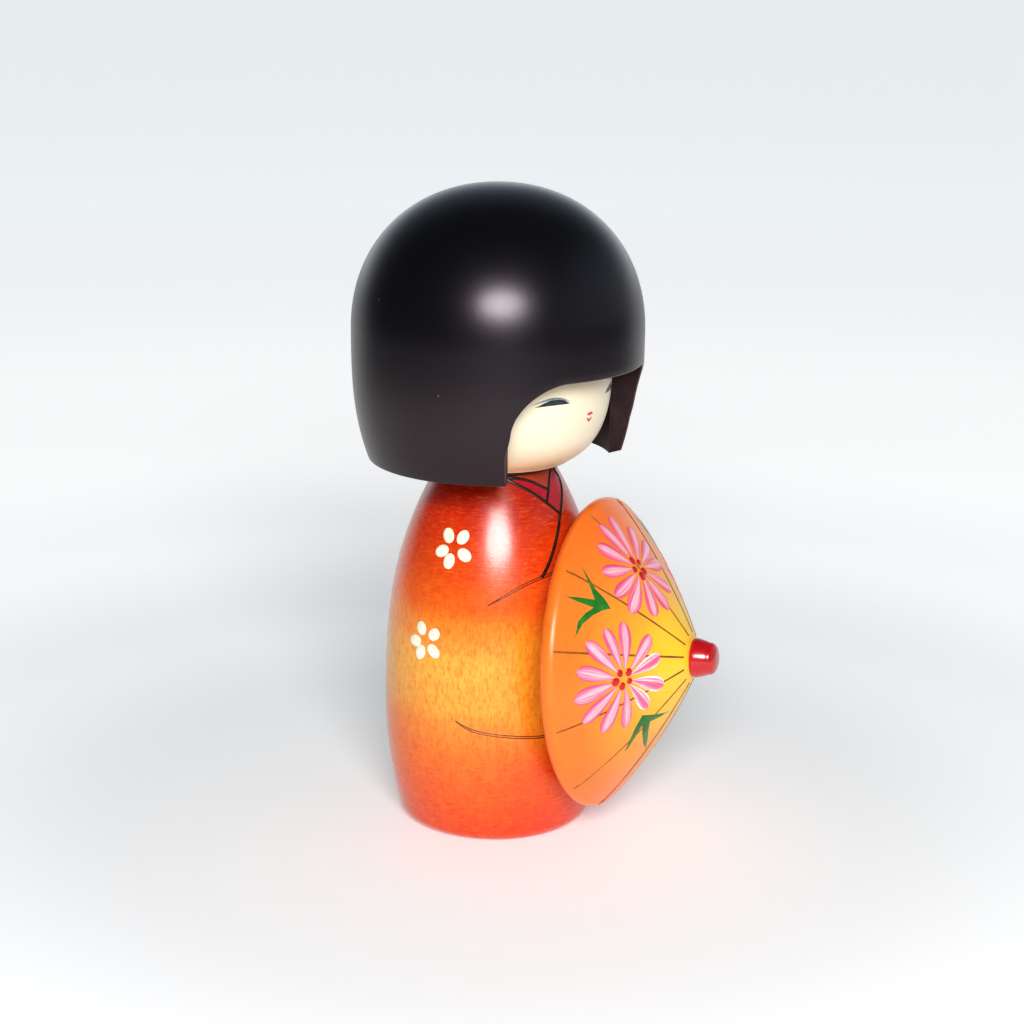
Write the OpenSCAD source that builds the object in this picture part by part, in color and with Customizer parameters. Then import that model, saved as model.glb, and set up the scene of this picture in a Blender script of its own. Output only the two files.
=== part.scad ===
// Kokeshi doll with a bobbed hair cap and an open parasol, turned from wood.
// The origin is the centre of the flat base, +Z is up and the face looks along -Y.

/* [Doll] */
// Height of the doll from the table to the crown
doll_h = 160; // [156:1:170]

/* [Torso] */
// Largest radius of the torso
torso_r = 27.8; // [26:0.1:28.5]
// Height of the torso's widest ring
torso_wide_z = 30; // [26:1:34]
// Height of the torso's flat top, under the chin
torso_top_z = 92.7; // [90:0.1:92.8]
// Share of the radius that the shoulders lose by the top
shoulder_loss = 0.5; // [0.4:0.01:0.55]
// How late the shoulders turn in
shoulder_power = 2.7; // [2:0.1:3.5]
// Share of the radius that the skirt loses by the base
skirt_loss = 0.155; // [0.1:0.005:0.2]
// How late the skirt turns in
skirt_power = 1.9; // [1.5:0.1:2.5]
// Radius of the rounding at the base's rim
base_round = 2.6; // [1.5:0.1:3.5]

/* [Head] */
// Height of the chin, the face block's lowest ring
chin_z = 92.9; // [92.9:0.1:94]
// Radius of the face block
face_r = 28; // [26:0.1:28.2]
// Height at which the cheeks reach the full radius
cheek_z = 119.5; // [116:0.5:122]
// Depth over which the cheeks round in towards the chin
cheek_drop = 28.8; // [28:0.1:32]
// Squareness of the cheeks
cheek_power = 3.13; // [2.5:0.01:3.5]
// Height of the face block's top, hidden in the hair
face_top_z = 134; // [126:1:140]

/* [Hair] */
// Largest radius of the hair cap
hair_r = 35.7; // [34:0.1:37]
// Height of the hair's widest ring
hair_wide_z = 124.7; // [120:0.1:128]
// Squareness of the crown's dome
crown_power = 2.13; // [2:0.01:2.4]
// Height of the hair's lower edge
hair_hem_z = 93; // [93:0.1:95]
// Radius of the hair at its lower edge
hair_hem_r = 31.6; // [30.5:0.1:33]
// How late the hair turns in towards its lower edge
hair_hem_power = 2.9; // [2:0.1:3.5]
// Height of the fringe over the forehead
fringe_z = 117.5; // [114:0.1:119]
// Half the width of the face window
window_half_w = 25.8; // [23:0.1:26.5]
// Radius of the face window's upper corners
window_corner_r = 11; // [6:0.5:14]
// Angle of the side locks' cut faces, away from straight ahead
lock_splay = 69.5; // [60:0.5:75]
// Half the width of the window at the face's own skin
lock_inner_half_w = 20.1; // [18:0.1:22]

/* [Parasol] */
// Turn of the parasol towards the doll's left
parasol_turn = 14.7; // [0:0.1:25]
// Tilt of the parasol, tip up
parasol_tilt = 3.8; // [0:0.1:8]
// Height at which the parasol's axis meets the torso's own axis
parasol_axis_z = 44.2; // [42:0.1:48]
// Distance of the canopy's back rim from the torso's axis
canopy_back = 26.3; // [26:0.1:28]
// Radius of the canopy's rim
canopy_r = 38.2; // [30:0.1:38.5]
// Length of the canopy from back rim to tip
canopy_len = 26.1; // [22:0.1:30]
// Thickness of the canopy's rounded rim
canopy_rim_t = 4.8; // [3:0.1:6]
// How far the canopy's cone bows outward
canopy_bow = 2.25; // [0:0.05:3]
// Radius of the canopy's cut tip
canopy_tip_r = 4.6; // [4:0.1:6]
// Depth of the hollow turned into the canopy's back
dish_depth = 4.5; // [3:0.1:6]
// Length of the red finial beyond the canopy
finial_len = 6; // [4:0.1:8]

/* [Dowels] */
// Radius of the neck dowel
neck_r = 6; // [4:0.1:8]
// Depth of the neck socket in the torso
neck_socket = 20; // [14:1:26]
// Radius of the parasol's shaft
shaft_r = 2.5; // [2:0.1:3]
// Length of shaft plugged into the torso
shaft_plug = 16; // [12:0.5:20]
// Running clearance between a dowel and its hole, on the radius
dowel_gap = 0.05; // [0.02:0.01:0.1]

/* [Hidden] */
$fn = 96;

// Steps along a turned outline
profile_steps = 18;
rim_steps = 6;
// Space left past a blind end, so that a dowel never bottoms out
end_gap = 0.3;
// Overrun of a cutting tool past a face
over = 1;

// Rounding at the torso's top edge, where the shoulders end
top_round = 0.8;
shoulder_rise = torso_top_z - top_round - torso_wide_z;

neck_socket_z = torso_top_z - neck_socket;
neck_bottom_z = neck_socket_z + end_gap;
neck_top_z = cheek_z - 4;
crown_len = doll_h - hair_wide_z;

// The hub is a boss in the middle of the canopy's hollow that stops just short of the torso
hub_r = 7.5;
hub_clearance = 0.3;
hub_depth = 12;
finial_tenon = 6;
finial_tenon_r = 2;

// Distances along the parasol's own axis, from the torso's axis
hub_back = torso_r + hub_clearance;
shaft_back = torso_r - shaft_plug;
shaft_front = hub_back + hub_depth;
canopy_tip = canopy_back + canopy_len;

// ---- outlines ----

// Radius of the torso at height z
function torso_at(z) = z > torso_wide_z
    ? torso_r * (1 - shoulder_loss * pow((z - torso_wide_z) / shoulder_rise, shoulder_power))
    : torso_r * (1 - skirt_loss * pow((torso_wide_z - z) / torso_wide_z, skirt_power));

// Radius of the face block at height z, up to the full cheeks
function cheek_at(z) = face_r * pow(1 - pow((cheek_z - z) / cheek_drop, cheek_power), 1 / cheek_power);

// Radius of the hair at height z, from the hem to the widest ring
function hair_at(z) = hair_r - (hair_r - hair_hem_r)
    * pow((hair_wide_z - z) / (hair_wide_z - hair_hem_z), hair_hem_power);

// A point on the crown's dome, for an angle from 0 at the widest ring to 90 at the top
function crown_at(a) = [hair_r * pow(cos(a), 2 / crown_power),
                        hair_wide_z + crown_len * pow(sin(a), 2 / crown_power)];

// Radius of the canopy's cone, for a share t of the way from rim to tip
function canopy_at(t) = (canopy_r - canopy_rim_t / 4) * (1 - t) + canopy_tip_r * t
    + canopy_bow * 4 * t * (1 - t);

// Evenly spaced numbers from a to b, both included
function span(a, b, n) = [for (i = [0 : n]) a + (b - a) * i / n];

// Puts a shape that is turned about +Z onto the parasol's axis, at a distance along it
module on_parasol_axis(along = 0) {
    translate([0, 0, parasol_axis_z])
        rotate([90 - parasol_tilt, 0, parasol_turn])
            translate([0, 0, along])
                children();
}

// ---- torso ----

module torso_outline() {
    rim_lean = 14;
    rim_z = base_round * (1 - sin(rim_lean));
    rim_r = torso_at(rim_z) - base_round * cos(rim_lean);
    top_r = torso_at(torso_top_z - top_round);
    polygon(concat(
        [[0, 0]],
        [for (a = span(-90, -rim_lean, rim_steps)) [rim_r + base_round * cos(a), base_round * (1 + sin(a))]],
        [for (z = span(rim_z + 2, torso_top_z - top_round, profile_steps)) [torso_at(z), z]],
        [for (a = span(20, 90, 3)) [top_r - top_round * (1 - cos(a)), torso_top_z - top_round * (1 - sin(a))]],
        [[0, torso_top_z]]));
}

module torso() {
    color([0.82, 0.24, 0.08])
        difference() {
            rotate_extrude() torso_outline();
            translate([0, 0, neck_socket_z]) cylinder(h = neck_socket + over, r = neck_r + dowel_gap);
            on_parasol_axis(shaft_back - end_gap)
                cylinder(h = shaft_plug + 2 * over, r = shaft_r + dowel_gap);
        }
}

// ---- head ----

module neck_dowel() {
    color([0.82, 0.68, 0.46])
        translate([0, 0, neck_bottom_z]) cylinder(h = neck_top_z - neck_bottom_z, r = neck_r);
}

module face_outline() {
    polygon(concat(
        [[0, chin_z]],
        [for (z = span(chin_z, cheek_z, profile_steps)) [cheek_at(z), z]],
        [[face_r, face_top_z - 2], [face_r - 2, face_top_z], [0, face_top_z]]));
}

module face_block() {
    color([0.95, 0.88, 0.74])
        difference() {
            rotate_extrude() face_outline();
            translate([0, 0, chin_z - over]) cylinder(h = neck_top_z - chin_z + over, r = neck_r + dowel_gap);
        }
}

module hair_outline() {
    polygon(concat(
        [[0, hair_hem_z]],
        [for (z = span(hair_hem_z, hair_wide_z, profile_steps)) [hair_at(z), z]],
        [for (a = span(5, 85, 16)) crown_at(a)],
        [[0, doll_h]]));
}

// Front outline of the face window, open at the bottom, with rounded upper corners
module window_outline() {
    side = window_half_w - window_corner_r;
    low_z = hair_hem_z - 5;
    corner_z = fringe_z - window_corner_r;
    corner = [for (a = span(0, 90, rim_steps)) [side + window_corner_r * cos(a), corner_z + window_corner_r * sin(a)]];
    polygon(concat(
        [[-window_half_w, low_z], [window_half_w, low_z]],
        corner,
        [for (i = [0 : rim_steps]) [-corner[rim_steps - i].x, corner[rim_steps - i].y]]));
}

// Plan of the face window: a wedge whose sides open outward at the locks' splay
module window_plan() {
    skin_y = -20;
    reach = 45;
    apex_y = skin_y + lock_inner_half_w / tan(lock_splay);
    half_w = reach * tan(lock_splay);
    polygon([[0, apex_y], [half_w, apex_y - reach], [-half_w, apex_y - reach]]);
}

module face_window() {
    intersection() {
        rotate([90, 0, 0]) linear_extrude(height = 60) window_outline();
        translate([0, 0, hair_hem_z - 5]) linear_extrude(height = 40) window_plan();
    }
}

module hair_cap() {
    color([0.07, 0.06, 0.07])
        difference() {
            rotate_extrude() hair_outline();
            translate([0, 0, hair_hem_z - over])
                cylinder(h = face_top_z - hair_hem_z + over, r = face_r + dowel_gap);
            face_window();
        }
}

// ---- parasol, each part turned about +Z with the tip upward ----

module canopy_outline() {
    lip_r = canopy_r - canopy_rim_t * 0.45;
    dish_rim_r = canopy_r - canopy_rim_t;
    dish_floor_r = canopy_r * 0.55;
    half_rim = canopy_rim_t / 2;
    polygon(concat(
        [[0, hub_back], [hub_r - 0.5, hub_back], [hub_r, hub_back + 0.5],
         [hub_r + 0.5, canopy_back + dish_depth], [dish_floor_r, canopy_back + dish_depth * 0.85],
         [dish_rim_r - 1, canopy_back + 0.6], [dish_rim_r, canopy_back], [lip_r, canopy_back]],
        [for (a = span(-60, 60, rim_steps))
            [canopy_r - half_rim + half_rim * cos(a), canopy_back + half_rim * (1 + sin(a))]],
        [for (t = span(0.04, 1, profile_steps))
            [canopy_at(t), canopy_back + canopy_rim_t + (canopy_len - canopy_rim_t) * t]],
        [[0, canopy_tip]]));
}

module parasol_canopy() {
    color([0.95, 0.6, 0.18])
        on_parasol_axis()
            difference() {
                rotate_extrude() canopy_outline();
                translate([0, 0, hub_back - over])
                    cylinder(h = shaft_front - hub_back + over + end_gap, r = shaft_r + dowel_gap);
                translate([0, 0, canopy_tip - finial_tenon - end_gap])
                    cylinder(h = finial_tenon + end_gap + over, r = finial_tenon_r + dowel_gap);
            }
}

module parasol_finial() {
    base_r = canopy_tip_r + 0.3;
    top_r = canopy_tip_r - 0.6;
    dome_h = 2;
    color([0.78, 0.12, 0.06])
        on_parasol_axis(canopy_tip) {
            rotate_extrude()
                polygon(concat(
                    [[0, 0], [base_r - 0.5, 0], [base_r, 0.6], [top_r, finial_len - dome_h]],
                    [for (a = span(15, 90, rim_steps)) [top_r * cos(a), finial_len - dome_h + dome_h * sin(a)]]));
            translate([0, 0, -finial_tenon]) cylinder(h = finial_tenon, r = finial_tenon_r);
        }
}

module parasol_shaft() {
    color([0.82, 0.68, 0.46])
        on_parasol_axis(shaft_back)
            cylinder(h = shaft_front - shaft_back, r = shaft_r);
}

torso();
neck_dowel();
face_block();
hair_cap();
parasol_canopy();
parasol_finial();
parasol_shaft();
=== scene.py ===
"""A turned wooden kokeshi doll with an open parasol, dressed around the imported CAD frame."""

import logging
import math
from dataclasses import dataclass, field
from enum import Enum
from typing import Callable, Sequence

import bmesh
import bpy
import numpy as np
from mathutils import Matrix, Vector
from mathutils.geometry import delaunay_2d_cdt

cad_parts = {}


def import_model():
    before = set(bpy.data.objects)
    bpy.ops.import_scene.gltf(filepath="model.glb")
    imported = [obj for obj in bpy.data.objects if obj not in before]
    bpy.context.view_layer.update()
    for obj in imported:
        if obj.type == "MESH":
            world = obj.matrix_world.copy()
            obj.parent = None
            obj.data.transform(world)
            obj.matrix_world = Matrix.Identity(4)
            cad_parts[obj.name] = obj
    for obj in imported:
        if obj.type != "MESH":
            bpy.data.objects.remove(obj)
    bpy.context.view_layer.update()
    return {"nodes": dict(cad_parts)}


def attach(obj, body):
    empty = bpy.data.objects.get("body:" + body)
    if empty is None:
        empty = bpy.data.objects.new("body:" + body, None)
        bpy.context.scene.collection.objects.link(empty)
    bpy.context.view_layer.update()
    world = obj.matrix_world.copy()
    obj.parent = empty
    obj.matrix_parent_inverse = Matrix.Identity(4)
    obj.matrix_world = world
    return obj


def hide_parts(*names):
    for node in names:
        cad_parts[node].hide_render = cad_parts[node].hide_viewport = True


log = logging.getLogger("kokeshi")
MM = 0.001
Array = np.ndarray
Colour = tuple[float, float, float]
Point2 = tuple[float, float]


# ---------------------------------------------------------------- node maths


def _operator(operation: str, swapped: bool = False) -> Callable:
    """An arithmetic operator of Value that adds one Math node.

    Args:
        operation: The Math node's operation.
        swapped: Whether the value is the operation's second input.
    """
    def apply(self: "Value", other: "Value | float") -> "Value":
        """The operation over self and other."""
        pair = (other, self) if swapped else (self, other)
        return self._math(operation, *pair)

    return apply


class Value:
    """One node socket in an expression: each operator adds the Math node that it stands for."""

    def __init__(self, nodes: "Nodes", socket: bpy.types.NodeSocket) -> None:
        """Keeps the socket and the tree that it belongs to."""
        self.nodes = nodes
        self.socket = socket

    def _math(self, operation: str, *values: "Value | float") -> "Value":
        """Adds a Math node over the given values, in order."""
        return self.nodes.add("ShaderNodeMath", {"operation": operation}, dict(enumerate(values)))

    __add__, __radd__ = _operator("ADD"), _operator("ADD", swapped=True)
    __sub__, __rsub__ = _operator("SUBTRACT"), _operator("SUBTRACT", swapped=True)
    __mul__, __rmul__ = _operator("MULTIPLY"), _operator("MULTIPLY", swapped=True)
    __truediv__ = _operator("DIVIDE")
    __pow__ = _operator("POWER")

    def absolute(self) -> "Value":
        """The value without its sign."""
        return self._math("ABSOLUTE", self)

    def at_least(self, other: "Value | float") -> "Value":
        """The larger of the two."""
        return self._math("MAXIMUM", self, other)

    def ramp(self, low: float, high: float) -> "Value":
        """A smooth step from 0 at low to 1 at high, or falling where low is above high."""
        span = {0: self, 1: min(low, high), 2: max(low, high)}
        step = self.nodes.add("ShaderNodeMapRange", {"interpolation_type": "SMOOTHSTEP"}, span)
        return step if low < high else 1 - step


class Nodes:
    """A node tree that is written with expressions, for shaders, worlds and geometry alike."""

    def __init__(self, tree: bpy.types.NodeTree) -> None:
        """Wraps an existing tree."""
        self.tree = tree

    def make(self, kind: str, settings: dict | None = None, inputs: dict | None = None) -> bpy.types.Node:
        """Adds a node.

        Args:
            kind: The node's type name.
            settings: Properties, which are set before the sockets.
            inputs: Values or links by socket name or index.

        Returns:
            The new node.
        """
        node = self.tree.nodes.new(kind)
        for name, value in (settings or {}).items():
            if name == "stops":
                self._set_stops(node.color_ramp, value)
            else:
                setattr(node, name, value)
        for key, value in (inputs or {}).items():
            if isinstance(value, Value):
                self.tree.links.new(value.socket, node.inputs[key])
            else:
                node.inputs[key].default_value = value
        return node

    @staticmethod
    def _set_stops(ramp: bpy.types.ColorRamp, stops: Sequence[tuple[float, Colour]]) -> None:
        """Replaces a colour ramp's stops by (place, colour) pairs, smoothly joined."""
        ramp.interpolation = "EASE"
        while len(ramp.elements) < len(stops):
            ramp.elements.new(0.5)
        for element, (place, colour) in zip(ramp.elements, sorted(stops)):
            element.position = place
            element.color = (*colour, 1.0)

    def add(self, kind: str, settings: dict | None = None, inputs: dict | None = None,
            output: str | int = 0) -> Value:
        """Adds a node as make does, and returns one of its outputs."""
        return Value(self, self.make(kind, settings, inputs).outputs[output])

    def vector(self, operation: str, *values: "Value | Sequence[float]") -> Value:
        """Adds a Vector Math node over the given vectors."""
        return self.add("ShaderNodeVectorMath", {"operation": operation}, dict(enumerate(values)))

    def split(self, vector: Value) -> tuple[Value, Value, Value]:
        """The three parts of a vector."""
        node = self.make("ShaderNodeSeparateXYZ", inputs={0: vector})
        return tuple(Value(self, socket) for socket in node.outputs)

    def join(self, x: "Value | float", y: "Value | float", z: "Value | float") -> Value:
        """A vector from its three parts."""
        return self.add("ShaderNodeCombineXYZ", inputs={0: x, 1: y, 2: z})

    def mix(self, share: "Value | float", low: "Value | Colour", high: "Value | Colour",
            blend: str = "MIX") -> Value:
        """Mixes two colours by a share, in the named blend mode."""
        colours = [v if isinstance(v, Value) else (*v, 1.0) for v in (low, high)]
        settings = {"data_type": "RGBA", "blend_type": blend}
        return self.add("ShaderNodeMix", settings, {0: share, 6: colours[0], 7: colours[1]}, output=2)

    def noise(self, vector: Value, scale: float, detail: float = 2.0, roughness: float = 0.5) -> Value:
        """Smooth noise from 0 to 1."""
        inputs = {"Vector": vector, "Scale": scale, "Detail": detail, "Roughness": roughness}
        return self.add("ShaderNodeTexNoise", None, inputs)

    def dot(self, first: Value, second: "Value | Sequence[float]") -> Value:
        """The dot product of two vectors."""
        return self.add("ShaderNodeVectorMath", {"operation": "DOT_PRODUCT"},
                        {0: first, 1: second}, "Value")

    def place(self, scale: Sequence[float] = (1, 1, 1)) -> Value:
        """Object coordinates in metres, scaled."""
        return self.vector("MULTIPLY", self.add("ShaderNodeTexCoord", output="Object"), scale)

    def point(self) -> Value:
        """Each point's own place, in a geometry tree."""
        return self.add("GeometryNodeInputPosition")

    def attribute(self, name: str) -> Value:
        """A number stored on the piece's own points."""
        return self.add("ShaderNodeAttribute", {"attribute_name": name}, output="Fac")


# ---------------------------------------------------------------- finishes


def cleared(owner: "bpy.types.Material | bpy.types.World") -> Nodes:
    """Gives a material or a world an empty node tree."""
    owner.use_nodes = True
    owner.node_tree.nodes.clear()
    return Nodes(owner.node_tree)


def linked(name: str, data: bpy.types.ID) -> bpy.types.Object:
    """Adds an object that shows the data to the scene."""
    made = bpy.data.objects.new(name, data)
    bpy.context.scene.collection.objects.link(made)
    return made


@dataclass(frozen=True)
class Finish:
    """A surface finish: its name and the constants of its top coat."""

    name: str
    roughness: float = 0.4
    coat: float = 0.0
    coat_roughness: float = 0.1
    specular: float = 0.5

    def paint(self, nodes: Nodes) -> dict[str, "Value | Colour"]:
        """The sockets that this finish drives, by name; a Height entry becomes a bump."""
        raise NotImplementedError

    def bump_depth(self) -> float:
        """Height of the bump's full swing, in metres."""
        return 0.02 * MM

    def gloss_tint(self) -> tuple[float, float, float, float]:
        """Colour of what the surface mirrors face on."""
        return 1.0, 1.0, 1.0, 1.0

    def build(self) -> bpy.types.Material:
        """Makes the material.

        Returns:
            A material with one Principled shader, driven as paint says.
        """
        material = bpy.data.materials.new(self.name)
        nodes = cleared(material)
        driven = self.paint(nodes)
        constants = {"Roughness": self.roughness, "Coat Weight": self.coat,
                     "Coat Roughness": self.coat_roughness, "Specular IOR Level": self.specular,
                     "Specular Tint": self.gloss_tint()}
        height = driven.pop("Height", None)
        if height is not None:
            driven["Normal"] = nodes.add("ShaderNodeBump", None, {
                "Strength": 1.0, "Distance": self.bump_depth(), "Height": height})
        shader = nodes.add("ShaderNodeBsdfPrincipled", None, {**constants, **driven})
        nodes.make("ShaderNodeOutputMaterial", None, {0: shader})
        return material


def wood_fleck(nodes: Nodes, across: float = 2600.0, along: float = 420.0) -> Value:
    """Short vertical pores of a fine wood, from 0 between them to 1 in them."""
    return nodes.noise(nodes.place((across, across, along)), 1.0, 3.0, 0.6).ramp(0.5, 0.72)


def lathe_rings(nodes: Nodes, pitch: float = 0.45 * MM) -> Value:
    """Uneven fine rings around the turning axis, broken up along their run, from 0 to 1."""
    return nodes.noise(nodes.place((420, 420, 1 / pitch)), 1.0, 3.0, 0.65)


@dataclass(frozen=True)
class TorsoDyeWithPaintedShade(Finish):
    """Red dye at the shoulders and skirt that fades to gold round the hips, over a fine wood; towards the
    neck the red darkens with painted shade under the hair.
    """

    name: str = "torso_dye_and_painted_shade"
    roughness: float = 0.27
    coat: float = 0.45
    coat_roughness: float = 0.17
    specular: float = 0.4
    height: float = 92.7 * MM
    # The last stops of both ramps darken the red towards the neck: painted shade under the overhanging
    # hair, over the red dye.
    side: tuple[tuple[float, Colour], ...] = (
        (0.0, (0.72, 0.07, 0.006)), (0.15, (0.82, 0.125, 0.01)), (0.24, (0.85, 0.18, 0.016)),
        (0.32, (0.86, 0.26, 0.028)), (0.4, (0.86, 0.4, 0.05)), (0.5, (0.86, 0.44, 0.05)),
        (0.6, (0.85, 0.28, 0.028)), (0.67, (0.82, 0.145, 0.014)), (0.76, (0.72, 0.085, 0.009)),
        (0.87, (0.6, 0.042, 0.006)), (0.92, (0.42, 0.022, 0.005)))
    front: tuple[tuple[float, Colour], ...] = (
        (0.0, (0.7, 0.05, 0.008)), (0.2, (0.82, 0.11, 0.012)), (0.4, (0.85, 0.35, 0.03)),
        (0.55, (0.85, 0.35, 0.03)), (0.68, (0.8, 0.12, 0.012)), (0.78, (0.7, 0.07, 0.009)),
        (0.92, (0.42, 0.022, 0.005)))

    def paint(self, nodes: Nodes) -> dict[str, "Value | Colour"]:
        """Layers the dyes by height, weaker in front, darkened at the neck by painted shade, with pores,
        blotches and lathe rings.
        """
        x, y, z = nodes.split(nodes.place())
        blotch = nodes.noise(nodes.place((60, 60, 35)), 1.0, 3.0)
        level = z / self.height + (blotch - 0.5) * 0.07
        facing = nodes.split(nodes.vector("NORMALIZE", nodes.join(x, y, 0.0)))[1] * -1.0
        side = nodes.add("ShaderNodeValToRGB", {"stops": self.side}, {0: level})
        front = nodes.add("ShaderNodeValToRGB", {"stops": self.front}, {0: level})
        colour = nodes.mix((facing + (blotch - 0.5) * 0.3).ramp(0.42, 0.9), side, front)
        middle = level.ramp(0.18, 0.36) * level.ramp(0.74, 0.58)
        pores = wood_fleck(nodes)
        colour = nodes.mix(pores * (0.35 + 0.5 * middle), colour, (0.9, 0.5, 0.35), "MULTIPLY")
        mottle = nodes.noise(nodes.place((900, 900, 420)), 1.0, 4.0, 0.8)
        colour = nodes.mix(mottle.ramp(0.42, 0.64) * (0.5 + 0.3 * middle), colour, (0.93, 0.6, 0.36),
                           "MULTIPLY")
        rings = lathe_rings(nodes)
        colour = nodes.mix(rings.ramp(0.52, 0.72) * 0.3 * (1 - middle), colour, (1.0, 0.24, 0.05))
        colour = nodes.mix(rings.ramp(0.5, 0.3) * 0.75 * (1.0 - 0.7 * middle), colour, (0.75, 0.4, 0.5),
                           "MULTIPLY")
        return {"Base Color": colour, "Roughness": 0.23 + 0.1 * blotch,
                "Height": rings * (1 - 0.6 * middle) - pores * 0.3}

    def bump_depth(self) -> float:
        """Lathe rings a few hundredths of a millimetre deep."""
        return 0.03 * MM


@dataclass(frozen=True)
class PaintedWood(Finish):
    """A flat coat of one paint, a little cloudy, that lets the wood's figure show through."""

    colour: Colour = (0.5, 0.5, 0.5)
    shade: Colour = (0.4, 0.4, 0.4)
    cloud: float = 160.0
    grain: float = 0.12

    def paint(self, nodes: Nodes) -> dict[str, "Value | Colour"]:
        """Clouds the colour towards its shade and adds faint pores."""
        clouds = nodes.noise(nodes.place((self.cloud,) * 3), 1.0, 4.0, 0.6)
        colour = nodes.mix(clouds.ramp(0.3, 0.75), self.colour, self.shade)
        pores = wood_fleck(nodes)
        colour = nodes.mix(pores * self.grain, colour, self.shade, "MULTIPLY")
        return {"Base Color": colour, "Roughness": self.roughness + (clouds - 0.5) * 0.1,
                "Height": clouds * 0.6 + pores * -0.4}


@dataclass(frozen=True)
class FacePaint(Finish):
    """Ivory paint, warmer towards the chin, with painted shade under the fringe."""

    name: str = "face_ivory"
    roughness: float = 0.42
    coat: float = 0.25
    coat_roughness: float = 0.28
    ivory: Colour = (0.87, 0.77, 0.57)
    chin: Colour = (0.82, 0.53, 0.3)
    # Painted shade: the darker tone at the top of the face stands for the fringe's shadow.
    painted_fringe_shade: Colour = (0.74, 0.64, 0.42)
    low: float = 92.9 * MM
    high: float = 117.5 * MM

    def paint(self, nodes: Nodes) -> dict[str, "Value | Colour"]:
        """Fades the ivory to peach at the chin and to a soft shadow tone under the fringe."""
        z = nodes.split(nodes.place())[2]
        level = (z - self.low) / (self.high - self.low)
        clouds = nodes.noise(nodes.place((90, 90, 90)), 1.0, 3.0)
        wobble = level + (clouds - 0.5) * 0.08
        colour = nodes.mix(wobble.ramp(0.34, 0.0) * 0.85, self.ivory, self.chin)
        colour = nodes.mix(wobble.ramp(0.72, 1.05) * 0.55, colour, self.painted_fringe_shade)
        speck = nodes.noise(nodes.place((1500, 1500, 900)), 1.0, 2.0)
        colour = nodes.mix(speck.ramp(0.62, 0.8) * 0.12, colour, (0.8, 0.68, 0.45))
        return {"Base Color": colour, "Roughness": 0.4 + 0.1 * clouds, "Height": speck * 0.5 + clouds}


@dataclass(frozen=True)
class HairLacquer(Finish):
    """Black lacquer with a maroon cast, orange peel, and brown wood where its edges are worn."""

    name: str = "hair_black_lacquer"
    roughness: float = 0.3
    coat: float = 0.1
    coat_roughness: float = 0.24
    black: Colour = (0.0035, 0.0033, 0.0048)
    maroon: Colour = (0.012, 0.005, 0.006)
    worn: Colour = (0.11, 0.05, 0.022)
    low: float = 93 * MM
    high: float = 128 * MM

    def paint(self, nodes: Nodes) -> dict[str, "Value | Colour"]:
        """Warms the black towards the hem, adds specks of dust, and wears the edges."""
        z = nodes.split(nodes.place())[2]
        level = (z - self.low) / (self.high - self.low)
        clouds = nodes.noise(nodes.place((70, 70, 70)), 1.0, 3.0)
        warm = (level + (clouds - 0.5) * 0.5).ramp(1.1, 0.1)
        colour = nodes.mix(warm, self.black, self.maroon)
        ragged = nodes.noise(nodes.place((900, 900, 900)), 1.0, 3.0)
        wear = (nodes.attribute("edge") + (ragged - 0.5) * 0.8).ramp(0.72, 1.02)
        colour = nodes.mix(wear * 0.6, colour, self.worn)
        dust = nodes.add("ShaderNodeTexVoronoi", None, {"Vector": nodes.place((140,) * 3), "Scale": 1.0})
        speck = dust.ramp(0.045, 0.015)
        colour = nodes.mix(speck * 0.3, colour, (0.3, 0.3, 0.31))
        peel = nodes.noise(nodes.place((1100, 1100, 1100)), 1.0, 1.5, 0.4)
        return {"Base Color": colour, "Roughness": 0.29 + 0.07 * clouds + 0.3 * speck,
                "Height": peel + speck * 0.6}

    def bump_depth(self) -> float:
        """Orange peel of the sprayed lacquer."""
        return 0.009 * MM

    def gloss_tint(self) -> tuple[float, float, float, float]:
        """A faint plum cast."""
        return 1.0, 0.86, 0.94, 1.0


@dataclass(frozen=True)
class CanopyDye(Finish):
    """Yellow dye at the parasol's tip that deepens to orange at the rim."""

    name: str = "canopy_dye"
    roughness: float = 0.36
    coat: float = 0.3
    coat_roughness: float = 0.24
    specular: float = 0.4
    yellow: Colour = (0.95, 0.57, 0.035)
    amber: Colour = (0.95, 0.33, 0.025)
    orange: Colour = (0.95, 0.2, 0.02)

    def paint(self, nodes: Nodes) -> dict[str, "Value | Colour"]:
        """Blends the dyes by the stored share of the way to the rim."""
        share = nodes.attribute("to_rim")
        clouds = nodes.noise(nodes.place((60, 60, 60)), 1.0, 4.0, 0.6)
        wobble = share + (clouds - 0.5) * 0.16
        colour = nodes.mix(wobble.ramp(0.12, 0.55), self.yellow, self.amber)
        colour = nodes.mix(wobble.ramp(0.45, 0.95), colour, self.orange)
        brush = nodes.noise(nodes.place((260, 260, 260)), 1.0, 5.0, 0.7)
        colour = nodes.mix(brush.ramp(0.5, 0.75) * 0.35, colour, (0.97, 0.72, 0.5), "MULTIPLY")
        speck = nodes.noise(nodes.place((1300, 1300, 1300)), 1.0, 3.0, 0.7)
        colour = nodes.mix(speck.ramp(0.5, 0.8) * 0.3, colour, (0.98, 0.62, 0.36), "MULTIPLY")
        return {"Base Color": colour, "Roughness": 0.32 + 0.12 * clouds, "Height": speck + brush * 0.6}


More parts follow.
